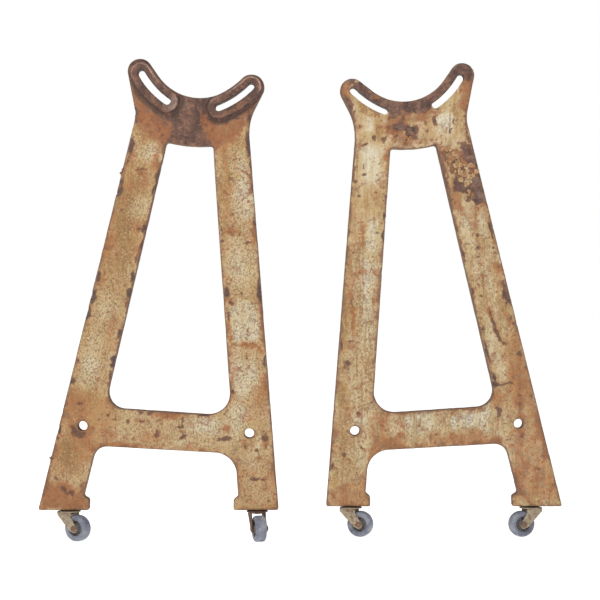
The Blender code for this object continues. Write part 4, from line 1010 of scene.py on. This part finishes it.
class Graph:
    """Small wrapper that writes a material's node tree."""

    def __init__(self, name):
        self.mat = bpy.data.materials.new(name)
        self.mat.use_nodes = True
        self.t = self.mat.node_tree
        self.bsdf = self.t.nodes["Principled BSDF"]
        self.where = self.t.nodes.new("ShaderNodeTexCoord").outputs["Object"]

    def put(self, socket, value):
        if isinstance(value, bpy.types.NodeSocket):
            self.t.links.new(value, socket)
        elif value is not None:
            socket.default_value = value

    def noise(self, scale, detail=4.0, rough=0.6, where=None, warp=0.0, out="Fac"):
        n = self.t.nodes.new("ShaderNodeTexNoise")
        self.put(n.inputs["Vector"], where or self.where)
        n.inputs["Scale"].default_value = scale
        n.inputs["Detail"].default_value = detail
        n.inputs["Roughness"].default_value = rough
        n.inputs["Distortion"].default_value = warp
        return n.outputs[out]

    def vary(self, scale, detail=4.0, rough=0.6, where=None, warp=0.0):
        """Noise about 0 with a spread of about 1."""
        return self.math("MULTIPLY_ADD", self.noise(scale, detail, rough, where, warp), 11.0, -5.5)

    def blend(self, base, *terms):
        """base + the sum of each (amount, socket)."""
        out = base
        for amount, x in terms:
            out = self.math("MULTIPLY_ADD", x, amount, out)
        return out

    def cracks(self, scale, where=None, feature="DISTANCE_TO_EDGE", randomness=1.0):
        n = self.t.nodes.new("ShaderNodeTexVoronoi")
        n.feature = feature
        self.put(n.inputs["Vector"], where or self.where)
        n.inputs["Scale"].default_value = scale
        n.inputs["Randomness"].default_value = randomness
        return n.outputs["Distance"]

    def warped(self, scale, amount):
        """Object coordinates pushed about by noise."""
        n = self.noise(scale, 3.0, 0.5, out="Color")
        sub = self.vec("SUBTRACT", n, (0.5, 0.5, 0.5))
        scaled = self.vec("SCALE", sub, amount)
        return self.vec("ADD", self.where, scaled)

    def stretched(self, scale):
        """Object coordinates scaled by a different amount along each axis."""
        return self.vec("MULTIPLY", self.where, scale)

    def vec(self, op, a, b):
        n = self.t.nodes.new("ShaderNodeVectorMath")
        n.operation = op
        self.put(n.inputs[0], a)
        if op == "SCALE":
            self.put(n.inputs["Scale"], b)
        else:
            self.put(n.inputs[1], b)
        return n.outputs[0]

    def math(self, op, a, b=None, c=None):
        n = self.t.nodes.new("ShaderNodeMath")
        n.operation = op
        self.put(n.inputs[0], a)
        self.put(n.inputs[1], b)
        self.put(n.inputs[2], c)
        return n.outputs[0]

    def add(self, *terms):
        out = terms[0]
        for t in terms[1:]:
            out = self.math("ADD", out, t)
        return out

    def mul(self, a, b):
        return self.math("MULTIPLY", a, b)

    def step(self, x, lo, hi):
        n = self.t.nodes.new("ShaderNodeMapRange")
        n.interpolation_type = "SMOOTHSTEP"
        n.clamp = True
        self.put(n.inputs["Value"], x)
        n.inputs["From Min"].default_value = lo
        n.inputs["From Max"].default_value = hi
        return n.outputs["Result"]

    def centred(self, x, amount):
        """(x - 0.5) * amount."""
        return self.math("MULTIPLY_ADD", x, amount, -0.5 * amount)

    def mix(self, fac, a, b, blend="MIX"):
        n = self.t.nodes.new("ShaderNodeMix")
        n.data_type = "RGBA"
        n.blend_type = blend
        self.put(n.inputs[0], fac)
        self.put(n.inputs[6], a)
        self.put(n.inputs[7], b)
        return n.outputs[2]

    def ramp(self, x, stops):
        n = self.t.nodes.new("ShaderNodeValToRGB")
        el = n.color_ramp.elements
        while len(el) < len(stops):
            el.new(0.5)
        for e, (pos, col) in zip(el, stops):
            e.position = pos
            e.color = col
        self.put(n.inputs[0], x)
        return n.outputs[0]

    def attr(self, name):
        n = self.t.nodes.new("ShaderNodeAttribute")
        n.attribute_name = name
        s = self.t.nodes.new("ShaderNodeSeparateColor")
        self.t.links.new(n.outputs["Color"], s.inputs[0])
        return s.outputs[0], s.outputs[1], s.outputs[2]

    def bump(self, height, strength, distance, normal=None):
        n = self.t.nodes.new("ShaderNodeBump")
        n.inputs["Strength"].default_value = strength
        n.inputs["Distance"].default_value = distance
        self.put(n.inputs["Height"], height)
        if normal is not None:
            self.put(n.inputs["Normal"], normal)
        return n.outputs[0]

    def finish(self, colour, rough, metal=0.0, normal=None):
        self.put(self.bsdf.inputs["Base Color"], colour)
        self.put(self.bsdf.inputs["Roughness"], rough)
        self.put(self.bsdf.inputs["Metallic"], metal)
        if normal is not None:
            self.put(self.bsdf.inputs["Normal"], normal)
        return self.mat


def old_paint(name, soil, runs):
    """Cream paint gone to crazing, rust washes, blots and bare iron, with painted shade round the pads, along the edges
    and at the holes, and painted highlights on the pads' shoulder and ridge. soil browns the paint, runs is how much
    dirt has run down it.
    """
    g = Graph(name)
    rust_a, bare_a, pale_a = g.attr("wear")
    dark_a, chip_a, line_a = g.attr("marks")
    craze_a, ochre_a, shine_a = g.attr("tone")
    brown_a, shade_a, ridge_highlight_a = g.attr("form")
    big = g.vary(14, 4, 0.6)
    mid = g.vary(52, 5, 0.62, warp=0.3)
    small = g.vary(170, 4, 0.62)
    tiny = g.vary(560, 3, 0.6)
    other = g.vary(90, 4, 0.6, where=g.stretched((1.0, 1.0, 0.9)), warp=0.6)
    grain = g.vary(1.0, 4, 0.72, where=g.stretched((350, 350, 265)))
    streaks = g.vary(1.0, 4, 0.6, where=g.stretched((110, 110, 14)))
    # khaki cream paint, from ochre where grime soaked in to a pale grey where it didn't
    light = g.blend(0.50 - 0.10 * soil, (0.09, big), (0.07, mid), (0.04, small), (0.05 + 0.06 * runs, streaks), (0.38, pale_a), (-0.40, ochre_a))
    paint = g.ramp(light, [(0.0, lin(150, 112, 64)), (0.22, lin(176, 141, 92)), (0.46, lin(190, 165, 122)), (0.70, lin(202, 185, 150)), (1.0, lin(210, 204, 182))])
    # crazing: grains of dirt between scales of paint, and an uneven net of dark cracks
    crazed = g.step(g.blend(0.0, (1.0, craze_a), (0.16, mid), (0.10, big)), -0.15, 0.75)
    dirt = g.mul(g.step(grain, -0.05, 1.15), g.blend(0.10, (0.42 + 0.36 * soil, crazed)))
    paint = g.mix(dirt, paint, lin(112, 84, 48))
    scales = g.mul(g.step(g.mul(grain, -1.0), 0.2, 1.7), g.blend(0.04, (0.20, crazed)))
    paint = g.mix(scales, paint, lin(216, 206, 178))
    net = g.cracks(190, g.warped(180, 0.005))
    lines = g.mul(g.math("SUBTRACT", 1.0, g.step(net, 0.02, 0.22)), g.step(g.blend(0.0, (1.0, small), (0.9, mid)), -1.2, 1.2))
    crumbs = g.step(g.blend(0.0, (0.8, tiny), (0.5, small), (0.4, grain)), 0.8, 1.7)
    grime = g.mul(g.math("MAXIMUM", lines, crumbs), crazed)
    grime_col = g.ramp(g.blend(0.5, (0.2, big)), [(0.3, lin(104, 82, 46)), (0.7, lin(118, 86, 52))])
    paint = g.mix(g.mul(grime, 0.46), paint, grime_col)
    run_in = g.vary(1.0, 3, 0.6, where=g.stretched((210, 210, 9)))
    run = g.mul(g.step(g.blend(0.0, (1.0, run_in), (0.35, mid)), 0.5, 2.2), 0.75 * runs)
    paint = g.mix(run, paint, g.ramp(g.blend(0.5, (0.12, mid)), [(0.3, lin(128, 100, 58)), (0.7, lin(158, 118, 68))]))
    # thin rust washes and solid rust
    wash_in = g.blend(0.0, (1.0, rust_a), (0.10, big), (0.14, mid), (0.07, other), (0.08, small), (0.05, grain), (0.13, streaks), (-0.30, pale_a))
    wash = g.step(wash_in, 0.02, 1.30)
    rust_col = g.ramp(g.blend(0.55, (-0.20, wash), (0.10, small), (0.11, other), (0.05, grain)), [(0.2, lin(124, 72, 42)), (0.42, lin(162, 101, 56)), (0.6, lin(184, 124, 74)), (0.82, lin(200, 152, 104))])
    col = g.mix(g.mul(wash, 0.86), paint, rust_col)
    # brown stain
    stain = g.step(g.blend(0.0, (1.0, brown_a), (0.07, mid), (0.08, other), (0.07, small)), 0.10, 0.95)
    col = g.mix(g.mul(stain, 0.90), col, g.ramp(g.blend(0.5, (0.10, small), (0.10, mid), (0.06, grain)), [(0.2, lin(108, 64, 40)), (0.5, lin(144, 90, 55)), (0.8, lin(172, 120, 76))]))
    # small rust-brown freckles, thicker where rust is
    freckle = g.step(g.blend(0.0, (0.7, other), (0.7, small), (0.3, tiny), (0.7, rust_a)), 1.25, 2.2)
    col = g.mix(g.mul(freckle, 0.74), col, g.ramp(g.blend(0.5, (0.15, small)), [(0.3, lin(102, 64, 42)), (0.7, lin(136, 88, 56))]))
    # bare iron: even brown with faint streaks, some of it redder
    iron = g.ramp(g.blend(0.48, (0.06, small), (0.09, mid), (0.03, tiny), (0.07, streaks), (0.05, other)), [(0.2, lin(66, 42, 35)), (0.42, lin(90, 62, 51)), (0.6, lin(110, 78, 65)), (0.85, lin(138, 106, 90))])
    red = g.step(g.blend(0.0, (0.6, mid), (0.3, small), (0.6, big)), 0.1, 1.7)
    iron = g.mix(g.mul(red, 0.55), iron, lin(124, 82, 62))
    # polished iron where the shine marks are, plus the painted highlight on the pads' shoulder: lighter grey and
    # smoother
    polish_and_highlight = g.step(g.blend(0.0, (1.0, shine_a), (0.10, small), (0.10, mid)), 0.15, 1.05)
    iron = g.mix(g.mul(polish_and_highlight, 0.65), iron, lin(140, 120, 108))
    # painted highlight: a light pinkish band along the pads' ridge
    iron = g.mix(g.step(g.blend(0.0, (1.0, ridge_highlight_a), (0.07, small), (0.06, mid)), 0.02, 1.05), iron, g.ramp(g.blend(0.5, (0.12, other)), [(0.3, lin(172, 132, 116)), (0.7, lin(186, 160, 148))]))
    bare_in = g.blend(0.0, (1.0, bare_a), (0.12, mid), (0.12, other), (0.09, small), (0.05, tiny))
    bare_m = g.step(bare_in, 0.32, 0.88)
    col = g.mix(g.mul(g.step(bare_in, 0.05, 0.50), 0.60), col, lin(140, 90, 60))
    col = g.mix(bare_m, col, iron)
    # painted shade round the pads: dark brown where the pads' shadow falls and at the slot lip
    col = g.mix(g.mul(g.step(g.blend(0.0, (1.0, shade_a), (0.06, small), (0.06, mid)), 0.02, 1.0), 0.80), col, g.ramp(g.blend(0.5, (0.12, mid)), [(0.3, lin(62, 43, 36)), (0.7, lin(84, 58, 46))]))
    # stains and rust blots, one of them a painted shadow at a tie-rod hole; the dark outline, worn paint with painted
    # shade on the edges and round the holes; and chipped edges
    blots_and_hole_shadow = g.blend(0.0, (1.0, dark_a), (0.10, other), (0.15, small), (0.08, tiny))
    col = g.mix(g.mul(g.step(blots_and_hole_shadow, 0.14, 0.52), 0.60), col, lin(140, 92, 58))
    col = g.mix(g.mul(g.step(blots_and_hole_shadow, 0.36, 0.86), 0.88), col, g.ramp(g.blend(0.5, (0.15, small)), [(0.3, lin(76, 52, 42)), (0.7, lin(108, 76, 58))]))
    # dark outline: worn paint and painted shade along the edges and round the holes
    edge_wear_and_shade = g.step(g.blend(0.0, (1.0, line_a), (0.14, mid), (0.12, small)), 0.12, 0.68)
    col = g.mix(g.mul(edge_wear_and_shade, 0.82), col, g.ramp(g.blend(0.5, (0.15, mid)), [(0.3, lin(94, 68, 54)), (0.7, lin(132, 98, 74))]))
    chip_in = g.blend(0.0, (1.0, chip_a), (0.14, small), (0.10, other))
    col = g.mix(g.mul(g.step(chip_in, 0.10, 0.45), 0.5), col, lin(140, 94, 64))
    chip_m = g.step(chip_in, 0.30, 0.80)
    col = g.mix(chip_m, col, g.ramp(g.blend(0.5, (0.12, small), (0.08, tiny)), [(0.25, lin(66, 45, 38)), (0.75, lin(108, 80, 66))]))
    # everything picks up a little unevenness
    col = g.mix(1.0, col, g.ramp(g.blend(0.5, (0.09, small), (0.07, tiny), (0.05, other)), [(0.0, (0.66, 0.64, 0.62, 1)), (0.5, (1.0, 1.0, 1.0, 1)), (1.0, (1.22, 1.22, 1.24, 1))]), "MULTIPLY")
    col = g.mix(1.0, col, (0.89 - 0.05 * soil, 0.90 - 0.09 * soil, 0.90 - 0.13 * soil, 1.0), "MULTIPLY")
    metal = g.math("MAXIMUM", bare_m, chip_m)
    rough = g.blend(0.64, (0.18, wash), (-0.08, metal), (0.03, small), (-0.10, g.mul(polish_and_highlight, bare_m)))
    height = g.blend(0.0, (0.05, small), (0.05, tiny), (-0.40, grime), (-0.14, dirt), (-0.80, metal), (0.35, freckle), (-0.5, g.step(blots_and_hole_shadow, 0.36, 0.86)), (0.08, g.mul(wash, small)))
    normal = g.bump(height, 0.60, 0.0008)
    return g.finish(col, rough, g.mul(bare_m, 0.12), normal)


def fork_plate(name, base, rusty):
    """Zinc plate gone dull: cloudy, flecked with brown, rusty in its low spots."""
    g = Graph(name)
    big, mid, small, tiny = g.noise(60, 4, 0.6), g.noise(170, 5, 0.6), g.noise(600, 4, 0.6), g.noise(1500, 2, 0.5)
    shade = lambda k: tuple(min(1.0, k * c) for c in base[:3]) + (1,)
    col = g.ramp(g.add(g.mul(big, 0.45), g.mul(mid, 0.35), g.mul(small, 0.2)), [(0.32, shade(0.62)), (0.5, base), (0.68, shade(1.22))])
    brown = g.step(g.add(g.mul(mid, 0.62), g.mul(small, 0.42), 0.34 * rusty), 0.60, 0.74)
    col = g.mix(g.mul(brown, 0.85), col, g.ramp(small, [(0.3, lin(92, 60, 42)), (0.7, lin(140, 98, 68))]))
    fleck = g.step(g.add(g.mul(small, 0.6), g.mul(tiny, 0.5)), 0.62, 0.70)
    col = g.mix(g.mul(fleck, 0.6), col, lin(96, 74, 58))
    normal = g.bump(g.add(g.mul(small, 0.5), g.mul(brown, 0.5), g.mul(fleck, 0.4)), 0.4, 0.0004)
    return g.finish(col, g.add(0.46, g.mul(brown, 0.38), g.mul(small, 0.12)), g.math("SUBTRACT", 0.35, g.mul(brown, 0.3)), normal)


def rubber():
    g = Graph("grey_rubber_tread")
    big, mid, small = g.noise(28, 4, 0.6), g.noise(110, 4, 0.6), g.noise(600, 4, 0.6)
    col = g.ramp(g.add(g.mul(big, 0.5), g.mul(mid, 0.3), g.mul(small, 0.2)), [(0.40, lin(86, 90, 102)), (0.5, lin(114, 118, 131)), (0.60, lin(146, 148, 154))])
    dirt = g.step(g.add(g.mul(mid, 0.6), g.mul(small, 0.4)), 0.52, 0.68)
    col = g.mix(g.mul(dirt, 0.42), col, lin(122, 114, 104))
    scuff = g.step(g.noise(1.0, 3, 0.6, where=g.stretched((300, 300, 60))), 0.60, 0.72)
    col = g.mix(g.mul(scuff, 0.35), col, lin(176, 174, 172))
    return g.finish(col, g.add(0.55, g.mul(small, 0.25), g.mul(dirt, 0.1)), 0.0, g.bump(g.add(g.mul(small, 0.7), g.mul(dirt, 0.4)), 0.3, 0.0003))


def dark_plastic():
    g = Graph("dark_hub_plastic")
    mid, small = g.noise(140, 4, 0.6), g.noise(700, 3, 0.6)
    col = g.ramp(g.add(g.mul(mid, 0.7), g.mul(small, 0.3)), [(0.32, lin(76, 72, 74)), (0.55, lin(98, 94, 96)), (0.75, lin(124, 118, 114))])
    return g.finish(col, g.add(0.55, g.mul(small, 0.25)), 0.0, g.bump(small, 0.2, 0.0003))


def rusted():
    g = Graph("rusted_steel_bits")
    mid, small = g.noise(260, 5, 0.65), g.noise(900, 4, 0.6)
    col = g.ramp(g.add(g.mul(mid, 0.6), g.mul(small, 0.4)), [(0.3, lin(78, 56, 46)), (0.5, lin(116, 88, 68)), (0.75, lin(152, 122, 94))])
    return g.finish(col, 0.75, 0.25, g.bump(small, 0.5, 0.0004))


# ------------------------------------------------------------------ casters
def placed(mesh, name, key, node, body):
    """Mesh drawn about the caster's own swivel axis, set at its place in the frame."""
    side = key.split("_")[0]
    x = STEM_X[side][0 if key.endswith("outer") else 1]
    sx = -FRAME_OFFSET_X + x if side == "left" else FRAME_OFFSET_X - x
    m = Matrix.Translation(Vector((sx, PLANE_Y[side], 0)) * MM) @ Matrix.Rotation(math.radians(SWIVEL[key]), 4, "Z")
    me = mesh.copy()
    me.transform(m)
    obj = link(name, me)
    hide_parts(node)
    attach(obj, body)
    return obj


def fork_mesh():
    out = FORK_IN + FORK_T
    z0, z1 = CROWN_Z
    # bent strap: a U in y, z swept along x, cut to the cheeks' side view
    outer = rounded([(-out, 8.0, 0), (out, 8.0, 0), (out, z1, 3.0), (-out, z1, 3.0)], 15)
    inner = rounded([(-FORK_IN, 4.0, 0), (FORK_IN, 4.0, 0), (FORK_IN, z0, 1.5), (-FORK_IN, z0, 1.5)], 15)

    def along_x(loop, x0, x1):
        bm = bmesh.new()
        stack_loops(bm, [[(x, y, z) for y, z in loop] for x in (x0, x1)])
        return bm

    eye = (TRAIL, WHEEL_R)
    side = rounded([
        (-16.2, z1 + 2, 0),
        (-15.6, z1 - 6.0, 3.0),
        (eye[0] - 7.4, eye[1] - 3.6, 5.0),
        (eye[0] + 1.5, eye[1] - 7.2, 4.6),
        (eye[0] + 6.6, eye[1] - 2.0, 4.6),
        (9.0, z1 - 8.0, 5.0),
        (9.0, z1 + 2, 0),
    ], 9)
    # each cheek has a pressed stiffening hollow
    hollow = rounded([(-8.5, z1 - 8.5, 2.0), (2.0, z1 - 15.0, 2.0), (8.0, z1 - 19.0, 2.0), (6.5, z1 - 8.5, 2.0)], 12)
    strap = solid("fork_strap", along_x(outer, -30, 40), [
        ("DIFFERENCE", along_x(inner, -31, 41)),
        ("INTERSECT", plate(side, -out - 5, out + 5)),
        ("UNION", spun([(CROWN_R - 0.5, z0), (CROWN_R, z0 + 0.5), (CROWN_R - 0.1, z1 - 0.4), (CROWN_R - 0.7, z1)], 56, closed=False)),
        ("DIFFERENCE", plate(hollow, out - 0.5, out + 4)),
        ("DIFFERENCE", plate(hollow, -out - 4, -out + 0.5)),
        ("DIFFERENCE", spun([(PIN_R + GAP, z0 - 3), (PIN_R + GAP, z1 + 3)], 28, closed=False)),
        ("DIFFERENCE", spun([(AXLE_R + GAP, -16), (AXLE_R + GAP, 16)], 24, axis="Y", centre=(TRAIL, 0, WHEEL_R), closed=False)),
    ])
    b = strap.modifiers.new("soft", "BEVEL")
    b.width = 0.35 * MM
    b.segments = 2
    b.limit_method = "ANGLE"
    b.angle_limit = math.radians(50)
    b.use_clamp_overlap = True
    me = modified(strap)
    me.shade_smooth()
    me.set_sharp_from_angle(angle=math.radians(42))
    bpy.data.objects.remove(strap)
    return me


def ring_mesh(name, radius, span, n):
    lo, hi = span
    r = 0.18
    return to_mesh(name, spun([
        (PIN_R + GAP, lo), (radius - r, lo), (radius, lo + r), (radius, hi - r), (radius - r, hi), (PIN_R + GAP, hi),
    ], n), 50)


def caster_parts():
    axle = (TRAIL, 0, WHEEL_R)
    out = FORK_IN + FORK_T
    b = SLEEVE_R + GAP
    parts = {"fork": fork_mesh()}
    parts["top_race"] = ring_mesh("top", TOP_RACE_R, TOP_RACE_Z, 64)
    parts["low_race"] = ring_mesh("low", LOW_RACE_R, LOW_RACE_Z, 48)
    parts["axle_rivet"] = to_mesh("rivet", spun([
        (0.7, -out - 2.3), (2.2, -out - 2.15), (3.4, -out - 1.7), (4.2, -out - 1.0), (4.5, -out - GAP), (AXLE_R, -out - GAP),
        (AXLE_R, out + 1.2), (3.7, out + 1.2), (3.5, out + 1.6), (2.6, out + 1.95), (1.2, out + 2.1),
    ], 28, axis="Y", centre=axle, closed=False), 50)
    # tread with a soft crown, a moulding line and a worn shoulder
    half = [(TYRE_IN, 7.3), (12.6, 7.4), (13.4, 8.2), (15.0, TYRE_W), (17.4, 8.4), (18.7, 7.7), (19.5, 6.3), (19.93, 4.2), (20.0, 2.0), (20.0, 0.25), (19.88, 0.0)]
    prof = half + [(r, -h) for r, h in reversed(half[:-1])]
    parts["tyre"] = to_mesh("tyre", spun(prof, 72, axis="Y", centre=axle), 50)
    hub = [(b, HUB_BOSS), (5.6, HUB_BOSS), (6.2, 8.2), (6.5, 5.4), (7.0, 4.7), (9.6, 4.5), (10.2, 4.9), (10.5, 6.6), (10.9, 6.95), (HUB_OUT, 6.9)]
    prof = hub + [(r, -h) for r, h in reversed(hub)]
    wheel = solid("hub_body", spun(prof, 60, axis="Y", centre=axle), [
        ("UNION", web_rib(axle, b, k)) for k in range(6)
    ])
    me = wheel.data
    me.shade_smooth()
    me.set_sharp_from_angle(angle=math.radians(40))
    parts["hub"] = me
    bpy.data.objects.remove(wheel)
    return parts


def web_rib(axle, bore, k):
    """One of six ribs between the hub's boss and its rim."""
    a = math.pi / 3 * k
    bm = bmesh.new()
    ring = []
    for r, w in ((6.0, 0.9), (10.9, 0.7)):
        for s in (-1, 1):
            c = Vector((math.cos(a), 0, math.sin(a))) * r + Vector((-math.sin(a), 0, math.cos(a))) * w * s
            ring.append(c + Vector(axle))
    ring = [ring[0], ring[1], ring[3], ring[2]]
    stack_loops(bm, [[(q.x, q.y + y, q.z) for q in ring] for y in (-6.2, 6.2)])
    return bm


def casters():
    parts = caster_parts()
    beige = fork_plate("dulled_plate_with_brown_specks", lin(160, 148, 126), 0.32)
    brown = fork_plate("brown_stained_plate", lin(62, 45, 38), 0.5)
    # the races' dark colour is partly painted shade: it stands for the thin shadow line under each foot
    race = fork_plate("race_plate_with_painted_shade", lin(78, 68, 62), 0.35)
    steel = fork_plate("dull_oily_steel", lin(104, 98, 92), 0.3)
    tread, hub, rust = rubber(), dark_plastic(), rusted()
    for key in SWIVEL:
        side = key.split("_")[0]
        swivel, leg, wheel = key + "_swivel", side + "_leg", key + "_wheel"
        plan = {
            "fork": (swivel, brown if key == "left_inner" else beige, "aged_zinc"),
            "top_race": (leg, race, "aged_zinc"),
            "low_race": (leg, race, "aged_zinc"),
            "axle_rivet": (swivel, rust, "rusted_steel"),
            "tyre": (wheel, tread, "grey_rubber"),
            "hub": (wheel, hub, "dark_hub"),
        }
        for part, mesh in parts.items():
            body, look, slot = plan[part]
            o = placed(mesh, "%s_%s_fine" % (key, part), key, "%s_%s" % (key, part), body)
            o.data.materials.clear()
            o.data.materials.append(look)
        for part in ("stem", "ball_ring", "axle_washer", "axle_sleeve"):
            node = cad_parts["%s_%s" % (key, part)]
            for s in node.material_slots:
                s.material = steel


# ------------------------------------------------------------------ build
for side, soil, runs in (("left", 0.55, 0.25), ("right", 0.15, 0.9)):
    paint = old_paint("crazed_paint_" + side, soil, runs)
    for piece in (casting(side), flakes(side)):
        piece.data.materials.clear()
        piece.data.materials.append(paint)
casters()

# ------------------------------------------------------------------ studio
floor_bm = bmesh.new()
bmesh.ops.create_circle(floor_bm, cap_ends=True, segments=96, radius=30.0)
floor = link("floor", to_mesh("floor", floor_bm))
floor.location.z = -0.0002
g = Graph("pale_floor")
g.finish(lin(248, 247, 246), g.add(0.85, g.mul(g.noise(3, 2), 0.05)))
g.bsdf.inputs["Emission Color"].default_value = (1, 1, 1, 1)
g.bsdf.inputs["Emission Strength"].default_value = 0.74
floor.data.materials.append(g.mat)

world = bpy.data.worlds.new("studio")
bpy.context.scene.world = world
world.use_nodes = True
wt = world.node_tree
bg = wt.nodes["Background"]
bg.inputs["Color"].default_value = (1, 1, 1, 1)
bg.inputs["Strength"].default_value = 0.37
backdrop = wt.nodes.new("ShaderNodeBackground")
backdrop.inputs["Color"].default_value = (1, 1, 1, 1)
backdrop.inputs["Strength"].default_value = 1.0
pick = wt.nodes.new("ShaderNodeMixShader")
wt.links.new(wt.nodes.new("ShaderNodeLightPath").outputs["Is Camera Ray"], pick.inputs[0])
wt.links.new(bg.outputs[0], pick.inputs[1])
wt.links.new(backdrop.outputs[0], pick.inputs[2])
wt.links.new(pick.outputs[0], wt.nodes["World Output"].inputs["Surface"])


def lamp(name, where, at, size, watts):
    data = bpy.data.lights.new(name, "AREA")
    data.shape = "DISK"
    data.size = size
    data.energy = watts
    o = bpy.data.objects.new(name, data)
    bpy.context.scene.collection.objects.link(o)
    o.location = where
    o.rotation_euler = (Vector(at) - Vector(where)).to_track_quat("-Z", "Y").to_euler()


lamp("key", (-1.1, -2.0, 2.6), (0, 0, 0.35), 1.1, 58)
lamp("fill", (2.2, -1.8, 1.2), (0, 0, 0.35), 2.0, 12)

cam = bpy.data.cameras.new("camera")
cam.lens = 97.5
cam.sensor_width = 36
eye = bpy.data.objects.new("camera", cam)
bpy.context.scene.collection.objects.link(eye)
eye.location = (-0.0039, -2.5138, 0.3698)
eye.rotation_euler = (math.radians(90), 0, 0)
bpy.context.scene.camera = eye
bpy.context.scene.view_settings.view_transform = "Standard"
